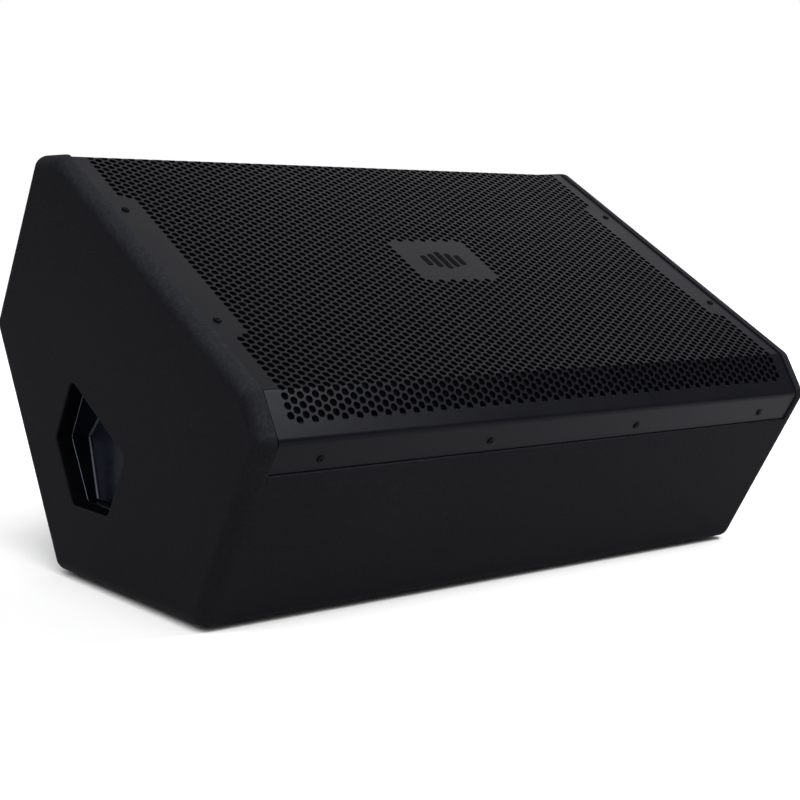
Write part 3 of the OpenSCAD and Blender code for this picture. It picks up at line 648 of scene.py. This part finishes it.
def rr(x, y, r, n=8):
    """rounded rectangle, anticlockwise"""
    out = []
    for cx, cy, a0 in ((x / 2 - r, y / 2 - r, 0), (-x / 2 + r, y / 2 - r, 90), (-x / 2 + r, -y / 2 + r, 180), (x / 2 - r, -y / 2 + r, 270)):
        for k in range(n + 1):
            a = math.radians(a0 + 90.0 * k / n)
            out.append((cx + r * math.cos(a), cy + r * math.sin(a)))
    return np.array(out)

def on_rear(P, z=None):
    """a point on the rear wall's outer face: x across, y down the wall, z outwards"""
    P = np.asarray(P, float)
    if z is not None:
        P = np.column_stack([P, np.full(len(P), z)])
    return np.column_stack([P[:, 0], U + P[:, 2], PV - P[:, 1]])

def prism(loop, z0, z1):
    b = Builder()
    a, c = b.add(W(on_rear(loop, z0))), b.add(W(on_rear(loop, z1)))
    b.strip(a, c)
    b.cap(a, flip=True)
    b.cap(c)
    return b.obj("cutter", [], sharp=None)

def cut_away(ob, cutters):
    for k, c in enumerate(cutters):
        md = ob.modifiers.new("cut%d" % k, "BOOLEAN")
        md.operation = "DIFFERENCE"
        md.solver = "EXACT"
        md.object = c
    ev = ob.evaluated_get(bpy.context.evaluated_depsgraph_get())
    em = ev.to_mesh()
    V = np.array([v.co for v in em.vertices], float)
    F = [tuple(q.vertices) for q in em.polygons]
    ev.to_mesh_clear()
    for o in [ob] + list(cutters):
        bpy.data.objects.remove(o)
    return V, F

def rear_wall():
    b = Builder()
    S = np.asarray(wall_section(1))
    ids = [b.add(np.column_stack([np.full(len(S), x), S])) for x in np.linspace(-XI, XI, 21)]
    for i in range(20):
        b.strip(ids[i], ids[i + 1])
    b.cap(ids[0], flip=True)
    b.cap(ids[-1])
    b.v = [tuple(p) for p in W(np.array(b.v))]
    blank = b.obj("blank", [], sharp=None)
    V, F = cut_away(blank, [prism(rr(160, 100, 6), -3.0, 4.0), prism(rr(138, 78, 8), -22.0, 4.0)])
    ob = mesh_obj("rear_wall", V, F, sharp=32, mats=[MAT["cabinet_paint"]], weighted=True)
    return put(ob, "cabinet", "cabinet_paint", "rear_panel")

rear_wall()

def dish():
    b = Builder()
    L = []
    def add(x, y, r, z):
        L.append(b.add(on_rear(rr(x, y, r), z)))
    add(158, 98, 5, -2.2)
    add(158, 98, 5, -0.6)
    for a in (30, 60, 90):
        t = math.radians(a)
        e = 0.6 * (1 - math.cos(t))
        add(158 - 2 * e, 98 - 2 * e, 5 - e, -0.6 + 0.6 * math.sin(t))
    for a in (90, 60, 30, 0):
        t = math.radians(a)
        e = 1.0 - 1.0 * math.cos(t)
        g = 1.0 - e
        add(130 + 2 * (1.0 - math.cos(t)), 70 + 2 * (1.0 - math.cos(t)), 4 + (1.0 - math.cos(t)), -1.0 + math.sin(t))
    for a in (0, 30, 60, 90):
        t = math.radians(a)
        e = 1.5 * (1 - math.cos(t))
        add(130 - 2 * e, 70 - 2 * e, 4 - e * 0.6, -19.5 - 1.5 * math.sin(t))
    for i in range(len(L) - 1):
        b.strip(L[i], L[i + 1])
    def circ(x, y, r, z, n=40):
        return b.add(on_rear(np.array([(x + r * math.cos(2 * math.pi * k / n), y + r * math.sin(2 * math.pi * k / n)) for k in range(n)]), z))
    holes = []
    for z in (-21.0, -24.0):
        holes.append([circ(-42, 0, 12, z), circ(-8, 0, 12, z), circ(24, 0, 5.6, z), b.add(on_rear(rr(14, 8, 0.4, 2) + np.array([50, 0]), z))])
    b.fill(L[-1], holes[0])
    for u_, d_ in zip(holes[0], holes[1]):
        b.strip(u_, d_)
    bk = b.add(on_rear(rr(136, 76, 7), -24.0))
    bu = b.add(on_rear(rr(136, 76, 7), -2.2))
    b.fill(bk, holes[1])
    b.strip(bk, bu)
    b.strip(bu, L[0])
    b.v = [tuple(p) for p in W(np.array(b.v))]
    ob = b.obj("input_dish_shell", [MAT["plate_plastic"]], sharp=38, weighted=True)
    return put(ob, "cabinet", "plate_plastic", "input_dish")

dish()

# ------------------------------------------------------------------
# grille: one folded sheet with its staggered round holes
# ------------------------------------------------------------------
K = 7.9375
DX, DS = K * math.sqrt(3) / 2, K / 2
HR = 3.175
R_OUT, R_LIP = 2.5, 5.5                        # outside bend radii
flat1 = FH - G_IN * math.tan(math.radians(15)) - R_OUT * math.tan(math.radians(15))
arc1 = R_OUT * math.radians(30)
flat2 = BEV - (G_IN + R_OUT) * math.tan(math.radians(15)) - (G_IN + R_LIP) * T30
arc2 = R_LIP * math.radians(60)
g1 = -BV - G_IN * T30
flat3 = (g1 - LIP) - R_LIP * T30
S_MAX = flat1 + arc1 + flat2 + arc2 + flat3
GXM = XI - GAP

def fold(s, d):
    """point and outward normal on the folded sheet at run s from the middle, d below its outer face"""
    s = np.asarray(s, float)
    sg = np.sign(s)
    a = np.abs(s)
    u = np.empty_like(a)
    v = np.empty_like(a)
    nu = np.empty_like(a)
    nv = np.empty_like(a)
    s1, s2, s3, s4 = flat1, flat1 + arc1, flat1 + arc1 + flat2, flat1 + arc1 + flat2 + arc2
    m = a <= s1
    u[m], v[m], nu[m], nv[m] = a[m], -G_IN, 0, 1
    m = (a > s1) & (a <= s2)
    t = (a[m] - s1) / R_OUT
    nu[m], nv[m] = np.sin(t), np.cos(t)
    u[m], v[m] = flat1 + R_OUT * np.sin(t), -G_IN - R_OUT + R_OUT * np.cos(t)
    e2u, e2v = flat1 + R_OUT * 0.5, -G_IN - R_OUT + R_OUT * C30
    m = (a > s2) & (a <= s3)
    t = a[m] - s2
    nu[m], nv[m] = 0.5, C30
    u[m], v[m] = e2u + t * C30, e2v - t * 0.5
    e3u, e3v = e2u + flat2 * C30, e2v - flat2 * 0.5
    m = (a > s3) & (a <= s4)
    t = math.radians(30) + (a[m] - s3) / R_LIP
    cu, cv = e3u - R_LIP * 0.5, e3v - R_LIP * C30
    nu[m], nv[m] = np.sin(t), np.cos(t)
    u[m], v[m] = cu + R_LIP * np.sin(t), cv + R_LIP * np.cos(t)
    m = a > s4
    nu[m], nv[m] = 1, 0
    u[m], v[m] = cu + R_LIP, cv - (a[m] - s4)
    return np.stack([sg * (u - nu * d), v - nv * d], -1), np.stack([sg * nu, nv], -1)

def hole_at(c, r):
    if r < 0 or r > 102 or (c + r) % 2:
        return False
    if 25 <= r <= 77:
        lo, hi = (2, 78) if r % 2 == 0 else (1, 79)
    else:
        lo, hi = (0, 80) if r % 2 == 0 else (-1, 81)
    if not lo <= c <= hi:
        return False
    if 43 <= r <= 59:
        if r % 2 and 35 <= c <= 45:
            return False
        if r % 2 == 0 and 34 <= c <= 46:
            return False
    return True

def grille():
    NS = 18
    key = {}
    P = []
    def vid(x, s):
        x = min(max(x, -GXM), GXM)
        s = min(max(s, -S_MAX), S_MAX)
        k = (round(x * 500), round(s * 500))
        i = key.get(k)
        if i is None:
            i = len(P)
            key[k] = i
            P.append((x, s))
        return i
    faces = []
    hexr = K / math.sqrt(3)
    hexo = [(hexr * math.cos(math.radians(60 * i)), hexr * math.sin(math.radians(60 * i))) for i in range(6)]
    ring = [(HR * math.cos(math.radians(20 * i)), HR * math.sin(math.radians(20 * i))) for i in range(NS)]
    rmax = int(S_MAX / DS) + 3
    for r in range(51 - rmax, 51 + rmax + 1):
        s0 = (r - 51) * DS
        for c in range(-6, 87):
            if (c + r) % 2:
                continue
            x0 = (c - 40) * DX
            hx = [vid(x0 + a, s0 + b_) for a, b_ in hexo]
            if hole_at(c, r):
                base = len(P)
                for a, b_ in ring:
                    P.append((x0 + a, s0 + b_))
                for i in range(6):
                    h0, h1 = hx[i], hx[(i + 1) % 6]
                    r0, r1, r2, r3 = base + 3 * i, base + 3 * i + 1, base + 3 * i + 2, base + (3 * i + 3) % NS
                    faces += [(h0, r1, r0), (h0, h1, r1), (h1, r2, r1), (h1, r3, r2)]
            else:
                f = []
                for i in hx:
                    if not f or f[-1] != i:
                        f.append(i)
                if len(f) > 1 and f[0] == f[-1]:
                    f.pop()
                if len(set(f)) >= 3:
                    q = np.array([P[i] for i in f])
                    area = 0.5 * abs(np.dot(q[:, 0], np.roll(q[:, 1], 1)) - np.dot(q[:, 1], np.roll(q[:, 0], 1)))
                    if area > 1e-4:
                        faces.append(tuple(f))
    bm = bmesh.new()
    vs = [bm.verts.new((p[0], p[1], 0)) for p in P]
    for f in faces:
        bm.faces.new([vs[i] for i in f])
    # cut the flat pattern along the bends so the folds are crisp
    s1, s2, s3, s4 = flat1, flat1 + arc1, flat1 + arc1 + flat2, flat1 + arc1 + flat2 + arc2
    cuts = [s1 - 0.7, s1] + [s1 + arc1 * k / 3 for k in (1, 2)] + [s2, s2 + 0.7, s3 - 0.8, s3] + [s3 + arc2 * k / 5 for k in (1, 2, 3, 4)] + [s4, s4 + 0.8, s4 + 13]
    for cpos in cuts:
        for sg in (-1, 1):
            y = sg * cpos
            fs = [f for f in bm.faces if min(v.co.y for v in f.verts) < y - 1e-6 and max(v.co.y for v in f.verts) > y + 1e-6]
            es = {e for f in fs for e in f.edges}
            vv = {v for f in fs for v in f.verts}
            bmesh.ops.bisect_plane(bm, geom=list(vv) + list(es) + fs, dist=1e-5, plane_co=(0, y, 0), plane_no=(0, 1, 0))
    bmesh.ops.remove_doubles(bm, verts=bm.verts, dist=1e-4)
    bm.verts.index_update()
    XY = np.array([v.co[:2] for v in bm.verts])
    F = [tuple(v.index for v in f.verts) for f in bm.faces]
    rim = [(e.verts[0].index, e.verts[1].index, e.link_faces[0]) for e in bm.edges if len(e.link_faces) == 1]
    # direction of each rim edge as its face sees it
    rims = []
    for a, b_, f in rim:
        idx = [v.index for v in f.verts]
        k = idx.index(a)
        rims.append((a, b_) if idx[(k + 1) % len(idx)] == b_ else (b_, a))
    bm.free()
    n = len(XY)
    top, _ = fold(XY[:, 1], 0.0)
    bot, _ = fold(XY[:, 1], SHEET)
    V = np.concatenate([np.column_stack([XY[:, 0], top]), np.column_stack([XY[:, 0], bot])])
    AF = F + [tuple(i + n for i in f[::-1]) for f in F] + [(b_, a, a + n, b_ + n) for a, b_ in rims]
    ob = mesh_obj("perforated_grille", W(V), AF, sharp=28, mats=[MAT["grille_steel"]])
    return put(ob, "cabinet", "grille_steel", "grille")

grille()

def foam():
    """open-cell sheet just behind the grille: gently uneven faces, rounded edges"""
    d0, d1 = GI + 0.5, GI + 8.5
    fx = XI - 14 - 1
    ue = UI - 2.5
    line = [np.array([ue, facet_v(ue, 0)]), ins(OUT, iB, 0), ins(OUT, iA, 0), np.array([-ue, facet_v(ue, 0)])]
    def row(d):
        p = [np.array([ue, facet_v(ue, d)]), ins(OUT, iB, d), ins(OUT, iA, d), np.array([-ue, facet_v(ue, d)])]
        out = []
        for i in range(3):
            k = (6, 74, 6)[i]
            out += [p[i] + (p[i + 1] - p[i]) * j / k for j in range(k)]
        return np.array(out + [p[3]])
    rng = np.random.RandomState(7)
    xs = np.linspace(-fx + 0.4, fx - 0.4, 110)
    top, bot = row(d0 + 0.1), row(d1 - 0.1)
    nrow = len(top)
    hs = rng.rand(len(xs), nrow)
    b = Builder()
    T, Bq = [], []
    for i, x in enumerate(xs):
        edge_x = min(i, len(xs) - 1 - i) == 0
        t = top.copy()
        t[:, 1] -= 0.35 * hs[i] + (0.6 if edge_x else 0)
        t[0, 1] -= 0.5
        t[-1, 1] -= 0.5
        T.append(b.add(np.column_stack([np.full(nrow, x), t])))
        Bq.append(b.add(np.column_stack([np.full(nrow, x), bot])))
    for i in range(len(xs) - 1):
        b.strip(T[i], T[i + 1], closed=False)
        b.strip(Bq[i + 1], Bq[i], closed=False)
        b.face(T[i][0], T[i + 1][0], Bq[i + 1][0], Bq[i][0])
        b.face(T[i][-1], Bq[i][-1], Bq[i + 1][-1], T[i + 1][-1])
    for k in range(nrow - 1):
        b.face(T[0][k], T[0][k + 1], Bq[0][k + 1], Bq[0][k])
        b.face(T[-1][k], Bq[-1][k], Bq[-1][k + 1], T[-1][k + 1])
    b.v = [tuple(p) for p in W(np.array(b.v))]
    ob = b.obj("grille_foam_sheet", [MAT["grille_foam"]], sharp=60)
    put(ob, "cabinet", "grille_foam", "grille_foam")

foam()

# ------------------------------------------------------------------
# screws: domed cross-recess heads
# ------------------------------------------------------------------
def screw_proto(rh, hh, rs, l, depth=None):
    """vertices and faces of one screw, axis +Z, underside of the head at z = 0 (mm)"""
    bm = bmesh.new()
    prof = [(0.0, hh)]
    for t in np.linspace(8, 90, 10):
        a = math.radians(t)
        prof.append((rh * 0.995 * math.sin(a) ** 0.9, hh * (0.42 + 0.58 * math.cos(a) ** 0.75)))
    prof += [(rh, hh * 0.40), (rh, 0.12), (rh - 0.12, 0.0), (rs, 0.0), (rs, -l + 1.2), (rs * 0.25, -l), (0.0, -l)]
    N = 40
    rings = []
    for r, z in prof:
        if r == 0.0:
            rings.append([bm.verts.new((0, 0, z))])
        else:
            rings.append([bm.verts.new((r * math.cos(2 * math.pi * k / N), r * math.sin(2 * math.pi * k / N), z)) for k in range(N)])
    for a, b_ in zip(rings[:-1], rings[1:]):
        for k in range(N):
            j = (k + 1) % N
            if len(a) == 1:
                bm.faces.new((a[0], b_[k], b_[j]))
            elif len(b_) == 1:
                bm.faces.new((a[k], b_[0], a[j]))
            else:
                bm.faces.new((a[k], b_[k], b_[j], a[j]))
    bmesh.ops.recalc_face_normals(bm, faces=bm.faces)
    me = bpy.data.meshes.new("proto")
    bm.to_mesh(me)
    bm.free()
    ob = bpy.data.objects.new("proto", me)
    bpy.context.scene.collection.objects.link(ob)
    # cross recess cutter: a tapered four-winged bit
    cb = bmesh.new()
    wt, wb, at, ab = rh * 0.13, rh * 0.07, rh * 0.56, rh * 0.18
    zt, zb = hh + 0.6, hh - (depth or hh * 0.72)
    def cross(wd, al, z):
        pts = [(al, -wd), (al, wd), (wd, wd), (wd, al), (-wd, al), (-wd, wd), (-al, wd), (-al, -wd), (-wd, -wd), (-wd, -al), (wd, -al), (wd, -wd)]
        return [cb.verts.new((x, y, z)) for x, y in pts]
    A, Bq = cross(wt, at, zt), cross(wb, ab, zb)
    cb.faces.new(A)
    cb.faces.new(Bq[::-1])
    for k in range(12):
        j = (k + 1) % 12
        cb.faces.new((A[j], A[k], Bq[k], Bq[j]))
    bmesh.ops.recalc_face_normals(cb, faces=cb.faces)
    cm = bpy.data.meshes.new("bit")
    cb.to_mesh(cm)
    cb.free()
    co = bpy.data.objects.new("bit", cm)
    bpy.context.scene.collection.objects.link(co)
    md = ob.modifiers.new("cut", "BOOLEAN")
    md.operation = "DIFFERENCE"
    md.solver = "EXACT"
    md.object = co
    dg = bpy.context.evaluated_depsgraph_get()
    ev = ob.evaluated_get(dg)
    em = ev.to_mesh()
    V = np.array([v.co for v in em.vertices], float)
    F = [tuple(p.vertices) for p in em.polygons]
    ev.to_mesh_clear()
    bpy.data.objects.remove(ob)
    bpy.data.objects.remove(co)
    return V, F

def screw_set(name, proto, places, node, slot, body="cabinet"):
    """places: list of (origin in mm, axis) in the cabinet's frame, or in the row frame when told"""
    V, F = proto
    AV_, AF = [], []
    for k, (org, ax, fr, spin) in enumerate(places):
        z = Vector(ax).normalized()
        x = z.orthogonal().normalized()
        y = z.cross(x)
        c, s = math.cos(spin), math.sin(spin)
        R = np.array([list(x), list(y), list(z)]).T @ np.array([[c, -s, 0], [s, c, 0], [0, 0, 1]])
        P = V @ R.T + np.array(org)
        P = W(P) if fr == "cab" else P / 1000.0
        n = len(AV_)
        AV_.extend(P.tolist())
        AF.extend([tuple(i + n for i in f) for f in F])
    ob = mesh_obj(name, AV_, AF, sharp=35, mats=[MAT[slot]])
    return put(ob, body, slot, node)

rs = np.random.RandomState(3)
pan = screw_proto(3.4, 1.5, 1.6, 12)
pl = []
for x in (288.7, -288.7):
    for u in (84.5, -84.5):
        pl.append(((x, u, -G_IN), (0, 0, 1), "cab", rs.rand() * 1.5))
for x in (-255.5, -86, 86, 255.5):
    pl.append(((x, -(U - G_IN), -41.8), (0, -1, 0), "cab", rs.rand() * 1.5))
    pl.append(((x, (U - G_IN), -41.8), (0, 1, 0), "cab", rs.rand() * 1.5))
screw_set("grille_screw_set", pan, pl, "grille_screws", "black_screw")
pl = []
for x, y in ((73.5, 43.5), (-73.5, 43.5), (73.5, -43.5), (-73.5, -43.5), (0, 43.5), (0, -43.5)):
    pl.append((tuple(on_rear(np.array([[x, y]]), 0.0)[0]), (0, 1, 0), "cab", rs.rand() * 1.5))
screw_set("input_screw_set", screw_proto(3.0, 1.8, 1.4, 11.5), pl, "input_screws", SLOT_OF["input_screws"])

# ------------------------------------------------------------------
# woofer's soft parts: they follow the cone at one edge and the basket at the other
# ------------------------------------------------------------------
def arc2d(cx, cz, r, a0, a1, n):
    return [(cx + r * math.cos(math.radians(a0 + (a1 - a0) * k / n)), cz + r * math.sin(math.radians(a0 + (a1 - a0) * k / n))) for k in range(n + 1)]

def turned_soft(name, prof, slot, node, n=160):
    b = Builder()
    ids = []
    for r, z in prof:
        ids.append(b.add([(WX + r * math.cos(2 * math.pi * k / n), r * math.sin(2 * math.pi * k / n), z) for k in range(n)]))
    for i in range(len(ids)):
        b.strip(ids[i], ids[(i + 1) % len(ids)])
    b.v = [tuple(p) for p in W(np.array(b.v))]
    ob = b.obj(name, [MAT[slot]], sharp=50)
    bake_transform(ob)
    q = Wi(np.array([v.co for v in ob.data.vertices]))
    r = np.hypot(q[:, 0] - WX, q[:, 1])
    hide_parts(node)
    return ob

turned_soft("surround_roll", [(145.9, -34.0), (146, -33.9), (146, -33.5), (145.9, -33.4), (142.0, -33.4), (140.2, -33.3)] + arc2d(132, -33.4, 7, 3, 177, 30)
            + [(123.6, -33.4), (118.2, -33.4), (118.0, -33.5), (118.0, -33.9), (118.2, -34.0), (125.6, -34.0)] + arc2d(132, -33.4, 6.4, 180, 0, 30) + [(138.4, -34.0)],
            "surround_cloth", "woofer_surround")

def spider_line(n=90):
    """corrugated disc: top and bottom lines, with smooth waves"""
    rs_ = np.linspace(36.0, 75.0, n)
    z = -104.0 + 0.5 + 0.7 * np.cos((rs_ - 39.0) / 3.6 * math.pi) * np.clip((rs_ - 36.0) / 2.0, 0, 1) * np.clip((75.0 - rs_) / 2.0, 0, 1)
    z = z + (-0.5) * np.clip((38.5 - rs_) / 2.5, 0, 1) + (-0.8) * np.clip((rs_ - 72.5) / 2.5, 0, 1)
    return rs_, z

_r, _z = spider_line()
turned_soft("spider_disc", [(32.15, -104.0)] + list(zip(_r, _z)) + [(76.5, -104.3), (82.0, -104.3), (82.0, -105.0), (75.5, -105.0)] + list(zip(_r[::-1], _z[::-1] - 0.6)) + [(32.15, -104.65)],
            "spider_cloth", "woofer_spider", 140)

# ------------------------------------------------------------------
# hand cups: moulded, with a rolled rim and a filleted, leaning back
# ------------------------------------------------------------------
def cup(side):
    b = Builder()
    LED, RF, COL = 1.3, 3.0, 1.4
    SL = 0.237
    def back(v):
        return HW - 24.2 - SL * (v - HT + 96.5)
    VS = [HT - 5.4 + 0.5 * k for k in range(5)]
    def loop2(d, rc):
        q = [tuple(x) for x in rounded(CUP, rc, d, 10)]
        out = []
        for i, p_ in enumerate(q):
            out.append(p_)
            n_ = q[(i + 1) % len(q)]
            if abs(p_[0] - n_[0]) < 1e-6 and abs(n_[1] - p_[1]) > 40:
                up = n_[1] > p_[1]
                out += [(p_[0], v) for v in (VS if up else VS[::-1])]
        return np.array(out)
    def L(d, x=None, h=None, rc=7.0, col=0.0):
        q = loop2(d, rc)
        if x is None:
            xx = back(q[:, 1]) + h
        else:
            w = np.clip((VS[-1] - q[:, 1]) / (VS[-1] - VS[0]), 0, 1)
            w = w * w * (3 - 2 * w)
            xx = x + col * w
        return np.column_stack([xx, q])
    loops = [L(-15.0, x=XI - 3.0, rc=14), L(-15.0, x=XI - 0.6, rc=14), L(-14.4, x=XI - 0.02, rc=14), L(0.15, x=XI - 0.02)]
    RR = (LED - 0.15) / 2
    loops.append(L(0.15, x=XI - 0.02, col=COL - RR))
    for a in np.linspace(0, 180, 9)[1:-1]:
        r = math.radians(a)
        loops.append(L(0.15 + RR * (1 - math.cos(r)), x=XI - 0.02, col=COL - RR + RR * math.sin(r)))
    loops.append(L(LED, x=XI - 0.02, col=COL - RR))
    loops.append(L(LED, x=XI - 1.2))
    loops.append(L(LED, h=RF + 0.6))
    for a in np.linspace(0, 90, 8):
        r = math.radians(a)
        loops.append(L(LED + RF * (1 - math.cos(r)), h=RF * (1 - math.sin(r))))
    loops.append(L(LED + RF + 1.0, h=0.0, rc=8.0))
    ids = [b.add(l) for l in loops]
    # material 1 (back and its fillet) carries a painted reflection in its lighter base colour; material 2 (rolled rim)
    # is polished and carries a painted highlight in its lighter base colour
    for i in range(len(ids) - 1):
        b.strip(ids[i], ids[i + 1], m=1 if i == len(ids) - 2 else 2 if 4 <= i <= 11 else 0)
    b.fill(ids[-1], [], flip=True, m=1)
    # outside skin
    outer = [b.add(L(-1.7, x=XI - 3.0)), b.add(L(-1.7, h=-0.5)), b.add(L(-0.3, h=-2.4)), b.add(L(2.2, h=-3.0))]
    b.strip(outer[0], ids[0])
    for i in range(3):
        b.strip(outer[i + 1], outer[i])
    b.fill(outer[-1], [])
    V = np.array(b.v)
    if side < 0:
        V[:, 0] *= -1
    b.v = [tuple(p) for p in W(V)]
    ob = b.obj("hand_cup_right" if side > 0 else "hand_cup_left", [MAT["handle_plastic"], MAT["cup_floor"], MAT["cup_rim"]], sharp=40, weighted=True)
    return put(ob, "cabinet", "handle_plastic", "right_handle_cup" if side > 0 else "left_handle_cup")

cup(-1)
cup(1)

# ------------------------------------------------------------------
# feet
# ------------------------------------------------------------------
def feet(name, node, mirror):
    b = Builder()
    N = 48
    prof = [(1.8, FOOT), (1.8, 2.3), (4.4, 2.3), (4.4, 0.5), (4.7, 0.12), (5.1, 0.0), (9.3, 0.0), (9.8, 0.12), (10.15, 0.5), (10.95, 3.1), (10.9, 3.4), (10.7, FOOT)]
    for x, y in ((270, -118), (-270, -118), (270, 82), (-270, 82)):
        ids = []
        for r, z in prof:
            ids.append(b.add([(x + r * math.cos(2 * math.pi * k / N), y + r * math.sin(2 * math.pi * k / N), z) for k in range(N)]))
        for i in range(len(ids)):
            b.strip(ids[i], ids[(i + 1) % len(ids)])
    V = np.array(b.v) / 1000.0
    if mirror:
        q = Wi(V)
        q[:, 1] *= -1
        V = W(q)
    b.v = [tuple(p) for p in V]
    ob = b.obj(name, [MAT["foot_rubber"]], sharp=40)
    return put(ob, "cabinet", "foot_rubber", node)

feet("foot_set", "bottom_feet", False)
feet("rear_foot_set", "rear_feet", True)
ft = screw_proto(3.8, 1.5, 1.6, 12)
pl = []
for x, y in ((270, -118), (-270, -118), (270, 82), (-270, 82)):
    o = np.array([x, y, FOOT - 1.2])
    pl.append((tuple(o), (0, 0, -1), "row", rs.rand() * 1.5))
    q = Wi(o / 1000.0)[0]
    q[1] *= -1
    pl.append((tuple(q), (0, math.sin(math.radians(30)), -math.cos(math.radians(30))), "cab", rs.rand() * 1.5))
screw_set("foot_screw_set", ft, pl, "foot_screws", "steel_screw")

# ------------------------------------------------------------------
# stage, light and camera
# ------------------------------------------------------------------
def floor():
    b = Builder()
    n = 24
    xs = np.linspace(-9, 9, n + 1)
    ids = [b.add([(x, y, 0.0) for y in xs]) for x in xs]
    for i in range(n):
        b.strip(ids[i], ids[i + 1], closed=False)
    ob = b.obj("studio_floor", [], sharp=None)
    m, nt, p = nodes_of("studio_white")
    v = coord(nt)
    c = ramp(nt, noise(nt, v, 3.0, 2.0), [(0.3, grey(0.93)), (0.7, grey(0.95))])
    nt.links.new(c, p.inputs["Base Color"])
    p.inputs["Roughness"].default_value = 0.9
    p.inputs["Specular IOR Level"].default_value = 0.0
    ob.data.materials.append(m)
    return ob

floor()

world = bpy.data.worlds.new("studio")
bpy.context.scene.world = world
world.use_nodes = True
wn = world.node_tree
bg = wn.nodes["Background"]
sep = wn.nodes.new("ShaderNodeSeparateXYZ")
wn.links.new(wn.nodes.new("ShaderNodeTexCoord").outputs["Generated"], sep.inputs[0])
sky = ramp(wn, mapr(wn, sep.outputs["Z"], 0.0, 1.0, -1.0, 1.0), [(0.0, (0.39, 0.40, 0.43)), (0.5, (0.39, 0.40, 0.43)), (0.58, grey(0.36)), (0.72, grey(0.30)), (1.0, grey(0.30))])
wn.links.new(sky, bg.inputs["Color"])
bg.inputs["Strength"].default_value = 1.0
backdrop = wn.nodes.new("ShaderNodeBackground")
backdrop.inputs["Color"].default_value = (1, 1, 1, 1)
pick = wn.nodes.new("ShaderNodeMixShader")
wn.links.new(wn.nodes.new("ShaderNodeLightPath").outputs["Is Camera Ray"], pick.inputs[0])
wn.links.new(bg.outputs[0], pick.inputs[1])
wn.links.new(backdrop.outputs[0], pick.inputs[2])
wn.links.new(pick.outputs[0], wn.nodes["World Output"].inputs["Surface"])

def area(name, loc, target, size, power, sy=None):
    d = bpy.data.lights.new(name, "AREA")
    d.shape = "RECTANGLE"
    d.size = size
    d.size_y = sy or size
    d.energy = power
    o = bpy.data.objects.new(name, d)
    bpy.context.scene.collection.objects.link(o)
    o.location = loc
    o.rotation_euler = (Vector(target) - Vector(loc)).to_track_quat("-Z", "Y").to_euler()
    return o

def sun(name, direction, strength, angle):
    d = bpy.data.lights.new(name, "SUN")
    d.energy = strength
    d.angle = math.radians(angle)
    o = bpy.data.objects.new(name, d)
    bpy.context.scene.collection.objects.link(o)
    o.rotation_euler = (-Vector(direction)).to_track_quat("-Z", "Y").to_euler()
    return o

sun("key", (-0.35, -0.45, 0.82), 3.2, 60)
area("front_right", (1.12, -1.52, 2.28), (-0.28, -0.2, 0.2), 0.45, 48)
area("top_back", (1.85, 1.25, 2.5), (0.05, 0.0, 0.3), 2.3, 15.5)

cam = bpy.data.cameras.new("camera")
co = bpy.data.objects.new("camera", cam)
bpy.context.scene.collection.objects.link(co)
F_PX, CX, CY = 1502.57, 378.28, 382.15
right = Vector((0.791556, -0.610992, 0.011351))
down = Vector((-0.055709, -0.090640, -0.994322))
fwd = Vector((0.608552, 0.786428, -0.105777))
M = Matrix((right, -down, -fwd)).transposed().to_4x4()
M.translation = Vector((-0.89770, -1.06288 - YM / 1000.0, 0.03255 + ZUP / 1000.0))
co.matrix_world = M
cam.sensor_fit = "HORIZONTAL"
cam.sensor_width = 36.0
cam.lens = F_PX / 800.0 * 36.0
cam.shift_x = (400.0 - CX) / 800.0
cam.shift_y = (CY - 400.0) / 800.0
cam.clip_start = 0.05
cam.clip_end = 60
bpy.context.scene.camera = co
bpy.context.scene.view_settings.view_transform = "Standard"
bpy.context.scene.view_settings.look = "None"
